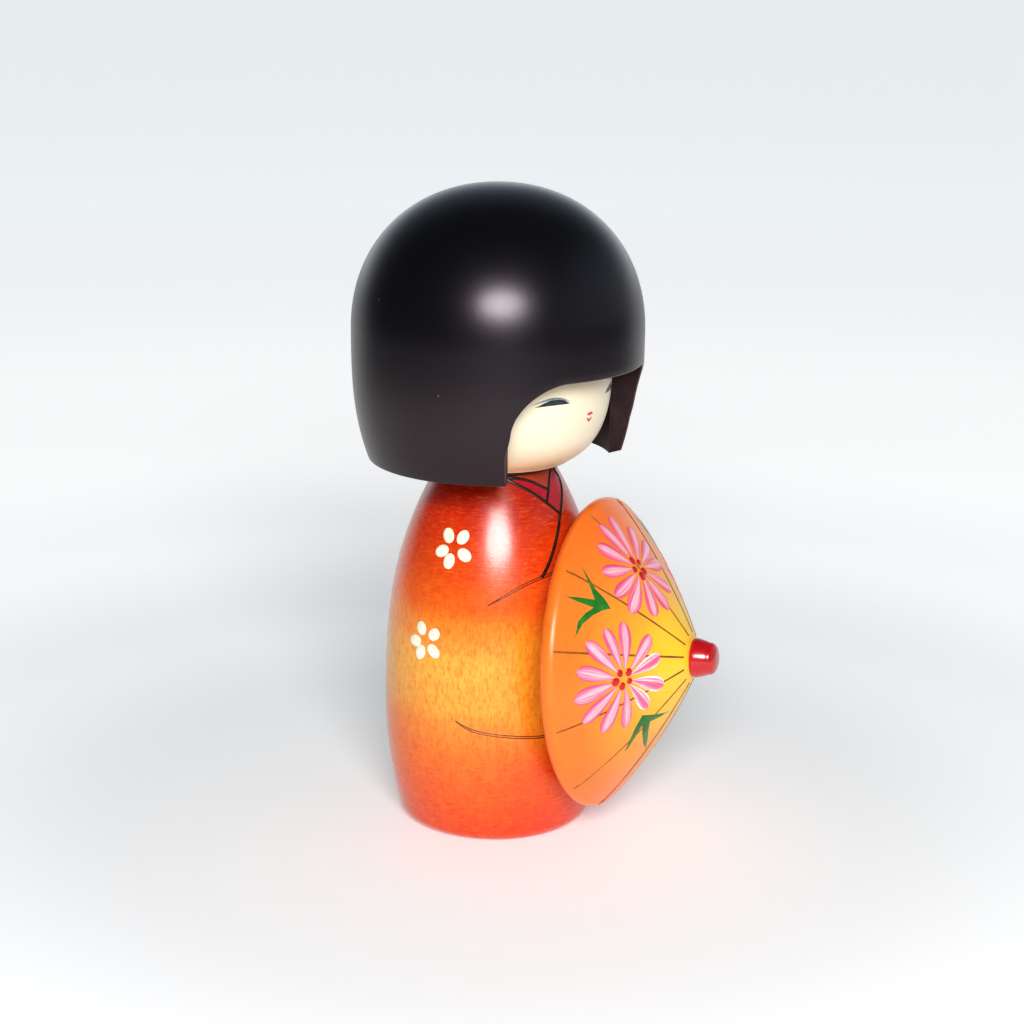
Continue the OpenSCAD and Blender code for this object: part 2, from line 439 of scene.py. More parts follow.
@dataclass(frozen=True)
class PetalPaint(Finish):
    """Pink paint laid with a brush that carries white along the middle or along the edges."""

    name: str = "petal_pink"
    roughness: float = 0.38
    coat: float = 0.4
    coat_roughness: float = 0.2
    pink: Colour = (0.9, 0.26, 0.36)
    magenta: Colour = (0.76, 0.075, 0.22)
    white: Colour = (0.96, 0.82, 0.84)

    def paint(self, nodes: Nodes) -> dict[str, "Value | Colour"]:
        """Streaks each stroke by the place across and along it, and by the stroke's own load."""
        across, along = nodes.attribute("across"), nodes.attribute("along")
        load = nodes.attribute("load")
        bristle = nodes.noise(nodes.join(across * 5.0, along * 0.9, load * 37.0), 1.0, 4.0, 0.65)
        streaks = bristle.ramp(0.34, 0.66) - 0.5
        edge = across.absolute()
        deep = (edge * 0.75 + along * 0.2 + streaks * 0.45).ramp(0.3, 0.95)
        body = nodes.mix(deep, self.pink, self.magenta)
        centre = (edge + streaks * 0.7 + load * 0.2).ramp(0.6, 0.15) * along.ramp(1.04, 0.8)
        loaded = nodes.mix(centre * 0.42, body, self.white)
        core = nodes.mix((edge + streaks * 0.7).ramp(0.5, 0.0), self.pink, self.magenta)
        edged = nodes.mix((edge + streaks * 0.8).ramp(0.5, 0.8), core, self.white)
        colour = nodes.mix(load.ramp(0.8, 0.82), loaded, edged)
        return {"Base Color": colour, "Roughness": 0.35 + 0.12 * bristle, "Height": bristle}

    def bump_depth(self) -> float:
        """Ridges left by the bristles."""
        return 0.05 * MM


GLOSS = (0.3, 0.4, 0.15, 0.4)
BRUSHED = (0.36, 0.3, 0.2, 0.4)
CHALKY = (0.36, 0.3, 0.2, 0.5)


class Paints(Enum):
    """Every finish of the doll, by the name of what it covers."""

    TORSO = TorsoDyeWithPaintedShade()
    CRIMSON = PaintedWood("collar_crimson", *GLOSS, (0.42, 0.008, 0.022), (0.27, 0.005, 0.012))
    CHEST = PaintedWood("chest_russet", *GLOSS, (0.38, 0.045, 0.012), (0.25, 0.025, 0.008))
    BURN = PaintedWood("burnt_line", 0.26, 0.4, 0.12, 0.4,
                       (0.012, 0.007, 0.006), (0.03, 0.014, 0.01), 500.0)
    SEAM = PaintedWood("sleeve_line", 0.3, 0.3, 0.12, 0.4, (0.05, 0.012, 0.005), (0.16, 0.035, 0.01), 90.0)
    RIB = PaintedWood("rib_line", 0.36, 0.2, 0.2, 0.4, (0.2, 0.07, 0.008), (0.4, 0.14, 0.016), 200.0)
    BLOSSOM = PaintedWood("blossom_white", *CHALKY, (0.9, 0.86, 0.72), (0.84, 0.76, 0.58), 600.0, 0.03)
    FACE = FacePaint()
    EYE = PaintedWood("eye_slate", *BRUSHED, (0.014, 0.018, 0.024), (0.035, 0.042, 0.05), 600.0, 0.05)
    LID = PaintedWood("lid_grey", 0.42, 0.2, 0.2, 0.5, (0.3, 0.35, 0.36), (0.15, 0.19, 0.21), 450.0, 0.05)
    LIPS = PaintedWood("lip_red", *CHALKY, (0.62, 0.07, 0.045), (0.5, 0.04, 0.025), 700.0, 0.05)
    HAIR = HairLacquer()
    CUT = PaintedWood("hair_cut_face", 0.55, 0.0, 0.3, 0.2,
                      (0.026, 0.013, 0.015), (0.045, 0.022, 0.024), 260.0)
    CANOPY = CanopyDye()
    HOLLOW = PaintedWood("canopy_hollow", 0.42, 0.2, 0.3, 0.5,
                         (0.9, 0.33, 0.05), (0.75, 0.2, 0.03), 120.0, 0.35)
    PETAL = PetalPaint()
    HEART = PaintedWood("daisy_heart_red", 0.3, 0.4, 0.12, 0.5,
                        (0.62, 0.01, 0.008), (0.45, 0.008, 0.008), 700.0)
    LEAF = PaintedWood("leaf_green", *BRUSHED, (0.03, 0.22, 0.02), (0.012, 0.13, 0.012), 330.0, 0.1)
    FINIAL = PaintedWood("finial_red", 0.26, 0.8, 0.12, 0.5,
                         (0.55, 0.008, 0.015), (0.42, 0.005, 0.008), 220.0, 0.1)
    BARE = PaintedWood("turned_bare_wood", 0.6, 0.0, 0.3, 0.4,
                       (0.72, 0.5, 0.28), (0.6, 0.38, 0.19), 130.0, 0.5)

    def material(self) -> bpy.types.Material:
        """The finish's material, which is built on first use."""
        return bpy.data.materials.get(self.value.name) or self.value.build()


# ---------------------------------------------------------------- turned surfaces


@dataclass(frozen=True)
class TurnedSurface:
    """A surface turned about the local Z axis of place: radius gives its radius at a height.

    The angle is measured from the local X axis. chart unrolls the surface into lengths, so that
    paint can be laid out flat: across is an arc length at chart_radius, up is the height.
    """

    place: Matrix
    radius: Callable[[Array], Array]
    chart_radius: float

    def at(self, angle: Array, height: Array, lift: "Array | float" = 0.0) -> Array:
        """Points over the surface.

        Args:
            angle: Angles in radians.
            height: Heights along the axis, in metres.
            lift: Distance outward from the surface, in metres.

        Returns:
            An array of points in the row frame, one per row.
        """
        step = 0.05 * MM
        radius = self.radius(height)
        slope = (self.radius(height + step) - self.radius(height - step)) / (2 * step)
        outward = 1 / np.sqrt(1 + slope**2)
        r = radius + lift * outward
        h = height - lift * slope * outward
        local = np.stack([r * np.cos(angle), r * np.sin(angle), h], axis=-1)
        matrix = np.array(self.place)
        return local @ matrix[:3, :3].T + matrix[:3, 3]

    def chart(self, across: Array, up: Array, lift: "Array | float" = 0.0) -> Array:
        """Points over the surface from flat chart coordinates."""
        return self.at(across / self.chart_radius, up, lift)


@dataclass(frozen=True)
class PlanSurface(TurnedSurface):
    """A turned cap whose chart is its plan, seen along the axis: height gives its height at a radius."""

    height: Callable[[Array], Array] = np.zeros_like

    def chart(self, across: Array, up: Array, lift: "Array | float" = 0.0) -> Array:
        """Points over the surface from plan coordinates."""
        return self.at(np.arctan2(up, across), self.height(np.hypot(across, up)), lift)


def upright() -> Matrix:
    """The frame of the doll's own axis: angle 0 faces the front and grows towards the doll's left."""
    return Matrix(((0, 1, 0, 0), (-1, 0, 0, 0), (0, 0, 1, 0), (0, 0, 0, 1)))


def mesh_object(name: str, points: Array, faces: list, paints: Sequence[Paints],
                slots: list[int] | None = None, sharp: float = 35.0,
                numbers: dict[str, Array] | None = None) -> bpy.types.Object:
    """Makes a smooth, closed, outward-facing mesh object.

    Args:
        name: The piece's name.
        points: Its points, one per row.
        faces: Tuples of point indices.
        paints: The finishes of its material slots.
        slots: The material slot of each face, or None for the first.
        sharp: Edges that turn by more than this many degrees stay sharp.
        numbers: One number per point to store, by name.

    Returns:
        The object, linked into the scene.
    """
    mesh = bpy.data.meshes.new(name)
    mesh.from_pydata([tuple(p) for p in points], [], faces)
    for key, values in (numbers or {}).items():
        store(mesh, key, values)
    for paint in paints:
        mesh.materials.append(paint.material())
    if slots:
        mesh.polygons.foreach_set("material_index", slots)
    work = bmesh.new()
    work.from_mesh(mesh)
    bmesh.ops.remove_doubles(work, verts=work.verts, dist=1e-6)
    bmesh.ops.recalc_face_normals(work, faces=work.faces)
    work.to_mesh(mesh)
    work.free()
    mesh.shade_smooth()
    mesh.set_sharp_from_angle(angle=math.radians(sharp))
    return linked(name, mesh)


def store(mesh: bpy.types.Mesh, name: str, values: Array) -> None:
    """Stores one number, or one vector, per point of a mesh."""
    values = np.asarray(values, np.float32)
    kind, field_name = ("FLOAT", "value") if values.ndim == 1 else ("FLOAT_VECTOR", "vector")
    mesh.attributes.new(name, kind, "POINT").data.foreach_set(field_name, values.ravel())


def profile(radius: Callable[[Array], Array], heights: Array) -> list[Point2]:
    """(radius, height) outline points of a turned surface."""
    return [(float(radius(np.array(z))), float(z)) for z in heights]


def places(obj: bpy.types.Object) -> Array:
    """The points of a mesh object, one per row."""
    out = np.zeros(len(obj.data.vertices) * 3)
    obj.data.vertices.foreach_get("co", out)
    return out.reshape(-1, 3)


def lathe(name: str, outline: Sequence[Point2], place: Matrix, paints: Sequence[Paints],
          slots: Sequence[int] | None = None, turns: int = 192, sharp: float = 35.0) -> bpy.types.Object:
    """Turns an outline about the local Z axis of place into a closed solid.

    Args:
        name: The piece's name.
        outline: (radius, height) points; the first and last lie on the axis.
        place: The turning axis.
        paints: Finishes of the material slots.
        slots: The slot of each band between two outline points.
        turns: Steps around the axis.
        sharp: Edges that turn by more than this many degrees stay sharp.
    """
    angles = np.linspace(0, 2 * math.pi, turns, endpoint=False)
    points = [(0.0, 0.0, outline[0][1])]
    for radius, height in outline[1:-1]:
        points += [(radius * math.cos(a), radius * math.sin(a), height) for a in angles]
    points.append((0.0, 0.0, outline[-1][1]))
    rings = len(outline) - 2
    faces, bands = [], []
    for k in range(turns):
        after = (k + 1) % turns
        faces.append((0, 1 + after, 1 + k))
        bands.append(0)
        for ring in range(rings - 1):
            low, high = 1 + ring * turns, 1 + (ring + 1) * turns
            faces.append((low + k, low + after, high + after, high + k))
            bands.append(ring + 1)
        top = 1 + (rings - 1) * turns
        faces.append((top + k, top + after, len(points) - 1))
        bands.append(rings)
    matrix = np.array(place)
    turned = np.array(points) @ matrix[:3, :3].T + matrix[:3, 3]
    return mesh_object(name, turned, faces, paints, [slots[b] for b in bands] if slots else None, sharp)


# ---------------------------------------------------------------- flat outlines laid on a surface


def resample(path: Array, step: float, closed: bool = False) -> Array:
    """Points along a polyline at about one step apart, its corners kept."""
    corners = np.vstack([path, path[:1]]) if closed else path
    out = []
    for a, b in zip(corners[:-1], corners[1:]):
        count = max(1, round(float(np.hypot(*(b - a))) / step))
        out += [a + (b - a) * k / count for k in range(count)]
    if not closed:
        out.append(corners[-1])
    return np.array(out)


def distance_to(points: Array, path: Array, closed: bool) -> Array:
    """The distance from each point to a polyline."""
    starts = path if closed else path[:-1]
    ends = np.roll(path, -1, axis=0) if closed else path[1:]
    best = np.full(len(points), np.inf)
    for a, b in zip(starts, ends):
        along = b - a
        share = np.clip((points - a) @ along / max(float(along @ along), 1e-18), 0, 1)
        best = np.minimum(best, np.hypot(*(points - a - share[:, None] * along).T))
    return best


def inside(points: Array, loop: Array) -> Array:
    """Whether each point lies inside a closed polygon."""
    x, y = points.T
    found = np.zeros(len(points), bool)
    for (ax, ay), (bx, by) in zip(loop, np.roll(loop, -1, axis=0)):
        crosses = (ay > y) != (by > y)
        rise = by - ay if by != ay else 1e-18
        found ^= crosses & (x < (bx - ax) * (y - ay) / rise + ax)
    return found


def lattice(low: Array, high: Array, step: float) -> Array:
    """A triangular lattice of points over a box."""
    rows = []
    row_step = step * math.sqrt(3) / 2
    for row, y in enumerate(np.arange(low[1] + row_step / 2, high[1], row_step)):
        xs = np.arange(low[0] + step * (0.25 + 0.5 * (row % 2)), high[0], step)
        rows.append(np.stack([xs, np.full(len(xs), y)], axis=1))
    return np.vstack(rows) if rows else np.zeros((0, 2))


def triangulate(loop: Array, extra: Array) -> tuple[Array, Array]:
    """Triangulates the inside of a closed polygon so that its segments are edges.

    Args:
        loop: The polygon's corners.
        extra: Further points inside it.

    Returns:
        The points and the triangles.
    """
    count = len(loop)
    edges = [(k, (k + 1) % count) for k in range(count)]
    points = [Vector(p) for p in np.vstack([loop, extra])]
    out, _, faces, *_ = delaunay_2d_cdt(points, edges, [], 0, 1e-7)
    flat = np.array([tuple(p) for p in out])
    triangles = np.array([f for f in faces if len(f) == 3])
    return flat, triangles[inside(flat[triangles].mean(axis=1), loop)]


@dataclass(frozen=True)
class PaintPatch:
    """A patch of paint with a rounded edge, laid on a turned surface as a thin closed solid."""

    name: str
    outline: Sequence[Point2]
    paint: Paints
    build_up: float = 0.09 * MM
    edge: float = 0.3 * MM
    sunk: float = 0.12 * MM
    step: float = 0.35 * MM

    def lay(self, surface: TurnedSurface) -> bpy.types.Object:
        """Builds the patch on a surface from its chart outline."""
        rim = resample(np.array(self.outline, float), self.step, closed=True)
        grid = lattice(rim.min(0), rim.max(0), self.step * 1.2)
        grid = grid[inside(grid, rim)]
        grid = grid[distance_to(grid, rim, True) > self.step * 0.45]
        flat, triangles = triangulate(rim, grid)
        depth = np.clip(distance_to(flat, rim, True) / self.edge, 0, 1)
        top = surface.chart(*flat.T, self.build_up * np.sqrt(1 - (1 - depth) ** 2))
        bottom = surface.chart(*flat.T, np.full(len(flat), -self.sunk))
        count = len(flat)
        faces = [tuple(t) for t in triangles]
        border: dict[tuple[int, int], int] = {}
        for a, b, c in faces:
            for edge in ((a, b), (b, c), (c, a)):
                border[edge] = border.get(edge, 0) + 1
        rims = [e for e in border if (e[1], e[0]) not in border]
        faces += [(c + count, b + count, a + count) for a, b, c in list(faces)]
        faces += [(b, a, a + count, b + count) for a, b in rims]
        return mesh_object(self.name, np.vstack([top, bottom]), faces, [self.paint], sharp=60.0)


def smooth_through(stations: Sequence[Point2], per_span: int = 10) -> Array:
    """A Catmull-Rom curve through a few stations."""
    pts = np.array(stations, float)
    pts = np.vstack([2 * pts[0] - pts[1], pts, 2 * pts[-1] - pts[-2]])
    out = []
    for a, b, c, d in zip(pts, pts[1:], pts[2:], pts[3:]):
        for t in np.linspace(0, 1, per_span, endpoint=False):
            out.append(0.5 * (2 * b + (c - a) * t + (2 * a - 5 * b + 4 * c - d) * t**2
                              + (3 * b - a - 3 * c + d) * t**3))
    out.append(pts[-2])
    return np.array(out)


def arc(start: Point2, end: Point2, rise: float, count: int = 16, late: float = 1.0) -> list[Point2]:
    """Points along a shallow curve from start to end.

    Args:
        start: First point.
        end: Last point.
        rise: Height of the curve's top above the straight line.
        count: Number of points.
        late: Above 1, it moves the top towards the end.
    """
    out = []
    for t in np.linspace(0, 1, count):
        lift = rise * 4 * t**late * (1 - t**late)
        out.append((start[0] + (end[0] - start[0]) * t, start[1] + (end[1] - start[1]) * t + lift))
    return out


# ---------------------------------------------------------------- geometry node trees


@dataclass
class GeometryTree:
    """A Geometry Nodes tree with named inputs, applied once and turned into a plain mesh."""

    name: str
    inputs: dict[str, "float | int | bpy.types.Object | bpy.types.Material"] = field(default_factory=dict)

    def __post_init__(self) -> None:
        """Makes the tree's interface from the inputs' own values."""
        self.tree = bpy.data.node_groups.new(self.name, "GeometryNodeTree")
        interface = self.tree.interface
        interface.new_socket("Geometry", in_out="INPUT", socket_type="NodeSocketGeometry")
        self.sockets = {}
        for name, value in self.inputs.items():
            kind = {float: "NodeSocketFloat", int: "NodeSocketInt"}.get(type(value))
            if isinstance(value, bpy.types.Object):
                kind = "NodeSocketObject"
            elif isinstance(value, bpy.types.Material):
                kind = "NodeSocketMaterial"
            self.sockets[name] = interface.new_socket(name, in_out="INPUT", socket_type=kind)
        interface.new_socket("Geometry", in_out="OUTPUT", socket_type="NodeSocketGeometry")
        self.nodes = Nodes(self.tree)
        self.group_in = self.nodes.make("NodeGroupInput")

    def value(self, name: str) -> Value:
        """A named input as a value."""
        return Value(self.nodes, self.group_in.outputs[name])

    def finish(self, geometry: Value) -> None:
        """Ends the tree in Realize Instances and Set Material."""
        whole = self.nodes.add("GeometryNodeRealizeInstances", None, {"Geometry": geometry})
        smooth = self.nodes.add("GeometryNodeSetShadeSmooth", None, {"Geometry": whole})
        dressed = self.nodes.add("GeometryNodeSetMaterial", None,
                                 {"Geometry": smooth, "Material": self.value("Paint")})
        self.nodes.make("NodeGroupOutput", None, {"Geometry": dressed})

    def apply(self, name: str, source: bpy.types.Object, place: Matrix | None = None) -> bpy.types.Object:
        """Runs the tree on a source object and keeps the result as a plain mesh.

        Args:
            name: The new piece's name.
            source: The object that feeds the tree; it is removed.
            place: A matrix for the result's points.

        Returns:
            The new piece, with no modifier.
        """
        modifier = source.modifiers.new("Grow", "NODES")
        modifier.node_group = self.tree
        for key, socket in self.sockets.items():
            modifier[socket.identifier] = self.inputs[key]
        bpy.context.view_layer.update()
        graph = bpy.context.evaluated_depsgraph_get()
        mesh = bpy.data.meshes.new_from_object(source.evaluated_get(graph), depsgraph=graph)
        mesh.name = name
        if place is not None:
            mesh.transform(place)
        made = linked(name, mesh)
        bpy.data.objects.remove(source)
        return made


def point_cloud(name: str, points: Array, **numbers: Sequence[float]) -> bpy.types.Object:
    """A source object of loose points, with a stored number or vector per point for each keyword."""
    mesh = bpy.data.meshes.new(name)
    mesh.from_pydata([tuple(p) for p in points], [], [])
    made = linked(name, mesh)
    for key, values in numbers.items():
        store(mesh, key, values)
    return made


def path_object(name: str, paths: Sequence[Array]) -> bpy.types.Object:
    """A source object of polylines, as mesh edges."""
    points, edges = [], []
    for path in paths:
        first = len(points)
        points += [tuple(p) for p in path]
        edges += [(first + k, first + k + 1) for k in range(len(path) - 1)]
    mesh = bpy.data.meshes.new(name)
    mesh.from_pydata(points, edges, [])
    return linked(name, mesh)


def stroke_tree(paint: Paints, width: float) -> GeometryTree:
    """A tree that draws a round stroke of the given width along every edge path."""
    grow = GeometryTree("burnt_stroke", {"Width": width, "Step": 0.3 * MM, "Copies": 1,
                                         "Paint": paint.material()})
    nodes = grow.nodes
    curve = nodes.add("GeometryNodeMeshToCurve", None, {"Mesh": grow.value("Geometry")})
    even = nodes.add("GeometryNodeResampleCurve", {"mode": "LENGTH"},
                     {"Curve": curve, "Length": grow.value("Step")})
    turn = nodes.join(0.0, 0.0, nodes.add("GeometryNodeInputIndex") * (2 * math.pi)
                      / grow.value("Copies"))
    seats = nodes.add("GeometryNodePoints", None, {"Count": grow.value("Copies")})
    spread = nodes.add("GeometryNodeInstanceOnPoints", None,
                       {"Points": seats, "Instance": even, "Rotation": turn})
    whole = nodes.add("GeometryNodeRealizeInstances", None, {"Geometry": spread})
    ring = nodes.add("GeometryNodeCurvePrimitiveCircle", None,
                     {"Resolution": 10, "Radius": grow.value("Width") / 2.0})
    tube = nodes.add("GeometryNodeCurveToMesh", None,
                     {"Curve": whole, "Profile Curve": ring, "Fill Caps": True})
    grow.finish(tube)
    return grow


def drape(grow: GeometryTree, geometry: Value) -> Value:
    """Drops a flat drawing down the Z axis onto the Target object, its own Z kept as the lift."""
    nodes = grow.nodes
    target = nodes.add("GeometryNodeObjectInfo", {"transform_space": "ORIGINAL"},
                       {"Object": grow.value("Target")}, output="Geometry")
    x, y, lift = nodes.split(nodes.point())
    cast = nodes.make("GeometryNodeRaycast", None, {
        "Target Geometry": target, "Source Position": nodes.join(x, y, 0.2),
        "Ray Direction": (0, 0, -1), "Ray Length": 0.4})
    hit, normal = (Value(nodes, cast.outputs[key]) for key in ("Hit Position", "Hit Normal"))
    offset = nodes.vector("MULTIPLY", normal, nodes.join(lift, lift, lift))
    return nodes.add("GeometryNodeSetPosition", None,
                     {"Geometry": geometry, "Position": nodes.vector("ADD", hit, offset)})


def stored(nodes: Nodes, name: str, kind: str = "FLOAT") -> Value:
    """A named attribute of the geometry that a tree works on."""
    return nodes.add("GeometryNodeInputNamedAttribute", {"data_type": kind}, {"Name": name})


def remember(nodes: Nodes, geometry: Value, name: str, value: Value, kind: str = "FLOAT") -> Value:
    """Stores a value as a named attribute of each point."""
    return nodes.add("GeometryNodeStoreNamedAttribute", {"data_type": kind, "domain": "POINT"},
                     {"Geometry": geometry, "Name": name, "Value": value})


def petal_tree(target: bpy.types.Object, slope_factor: float) -> GeometryTree:
    """A tree that draws a ring of brush strokes at each point and drapes them on the canopy."""
    grow = GeometryTree("daisy_petals", {
        "Count": 12, "Inner": 1.8 * MM, "Outer": 13.3 * MM, "Half Width": 2.6 * MM,
        "Build Up": 0.26 * MM, "Lift": 0.06 * MM, "Foreshortening": 1 - 1 / slope_factor, "Seed": 7,
        "Target": target, "Paint": Paints.PETAL.material()})
    nodes = grow.nodes
    ball = nodes.add("GeometryNodeMeshUVSphere", None, {"Segments": 20, "Rings": 22, "Radius": 1.0})
    x, y, z = nodes.split(nodes.point())
    along = (z + 1.0) / 2.0
    taper = along.at_least(0.02) ** 0.75
    girth = (1 - z * z).at_least(0.01) ** 0.5
    streaked = remember(nodes, remember(nodes, ball, "across", x / girth), "along", along)
    inner, outer = grow.value("Inner"), grow.value("Outer")
    spot = nodes.join(inner + (outer - inner) * along, x * taper * grow.value("Half Width"),
                      y * taper * grow.value("Build Up") + grow.value("Lift"))
    stroke = nodes.add("GeometryNodeSetPosition", None, {"Geometry": streaked, "Position": spot})

    middles = remember(nodes, grow.value("Geometry"), "middle", nodes.point(),
                       "FLOAT_VECTOR")
    ring = nodes.make("GeometryNodeDuplicateElements", {"domain": "POINT"},
                      {"Geometry": middles, "Amount": grow.value("Count")})
    seats, place_in_ring = (Value(nodes, ring.outputs[key]) for key in (0, 1))
    seed = grow.value("Seed")

    def chance(low: float, high: float, extra: float) -> Value:
        """A seeded random number for each stroke."""
        return nodes.add("FunctionNodeRandomValue", {"data_type": "FLOAT"},
                         {2: low, 3: high, "Seed": seed + extra}, output=1)

    edged = (place_in_ring - stored(nodes, "edged")).absolute()
    load = chance(0.0, 0.79, 4).at_least(edged.ramp(1.6, 1.4))
    turn = place_in_ring * (2 * math.pi) / grow.value("Count") + stored(nodes, "turn")
    turn = turn + chance(-0.06, 0.06, 1)
    size = nodes.join(chance(0.94, 1.05, 2), chance(0.88, 1.14, 3), 1.0)
    strokes = nodes.add("GeometryNodeInstanceOnPoints", None, {
        "Points": remember(nodes, seats, "load", load), "Instance": stroke,
        "Rotation": nodes.join(0.0, 0.0, turn), "Scale": size})
    whole = nodes.add("GeometryNodeRealizeInstances", None, {"Geometry": strokes})
    middle = stored(nodes, "middle", "FLOAT_VECTOR")
    radial = nodes.vector("NORMALIZE", nodes.vector("MULTIPLY", middle, (1, 1, 0)))
    spread = nodes.vector("SUBTRACT", nodes.point(), middle)
    pull = nodes.dot(spread, radial) * grow.value("Foreshortening") * -1.0
    eased = nodes.add("GeometryNodeSetPosition", None, {
        "Geometry": whole, "Offset": nodes.vector("MULTIPLY", radial, nodes.join(pull, pull, pull))})
    grow.finish(drape(grow, eased))
    return grow


def dab_tree(paint: Paints, width: float, length: float, height: float) -> GeometryTree:
    """A tree that lays an oval dab of paint at each point, facing and aimed as the point says."""
    grow = GeometryTree("paint_dabs", {"Width": width, "Length": length, "Height": height, "Seed": 3,
                                       "Paint": paint.material()})
    nodes = grow.nodes
    ball = nodes.add("GeometryNodeMeshUVSphere", None, {"Segments": 22, "Rings": 12, "Radius": 1.0})
    facing, aim = stored(nodes, "facing", "FLOAT_VECTOR"), stored(nodes, "aim", "FLOAT_VECTOR")
    lean = nodes.add("FunctionNodeAlignRotationToVector", {"axis": "Z"}, {"Vector": facing})
    turn = nodes.add("FunctionNodeAlignRotationToVector", {"axis": "X", "pivot_axis": "Z"},
                     {"Rotation": lean, "Vector": aim})
    vary = nodes.add("FunctionNodeRandomValue", {"data_type": "FLOAT"},
                     {2: 0.9, 3: 1.08, "Seed": grow.value("Seed")}, output=1)
    scale = stored(nodes, "size")
    size = nodes.join(grow.value("Length") * scale * vary / 2.0, grow.value("Width") * scale / 2.0,
                      grow.value("Height"))
    dabs = nodes.add("GeometryNodeInstanceOnPoints", None, {
        "Points": grow.value("Geometry"), "Instance": ball, "Rotation": turn, "Scale": size})
    grow.finish(dabs)
    return grow


def dab_source(surface: TurnedSurface,
               dabs: Sequence[tuple[float, float, float, float]]) -> bpy.types.Object:
    """Loose points for dab_tree.

    Args:
        surface: The surface that the dabs lie on.
        dabs: (across, up, aim angle, size) in the surface's chart, one per dab.

    Returns:
        The source object.
    """
    step = 0.1 * MM
    p, q, aim, size = (np.array(v) for v in zip(*dabs))
    here = surface.chart(p, q)
    out = surface.chart(p, q, np.full(len(p), step)) - here
    ahead = surface.chart(p + step * np.cos(aim), q + step * np.sin(aim)) - here
    return point_cloud("dabs", here, size=size, facing=out / step, aim=ahead / step)


def finished(piece: bpy.types.Object, body: str,
             instead_of: Sequence[str] = ()) -> bpy.types.Object:
    """Hands a piece to the frame and logs it.

    Args:
        piece: The finished piece.
        body: The body that it moves with.
        instead_of: CAD nodes that it takes the place of.

    Returns:
        The piece itself.
    """
    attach(piece, body)
    if instead_of:
        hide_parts(*instead_of)
    log.info("%s rides on %s with %d faces", piece.name, body, len(piece.data.polygons))
    return piece


# ---------------------------------------------------------------- the doll


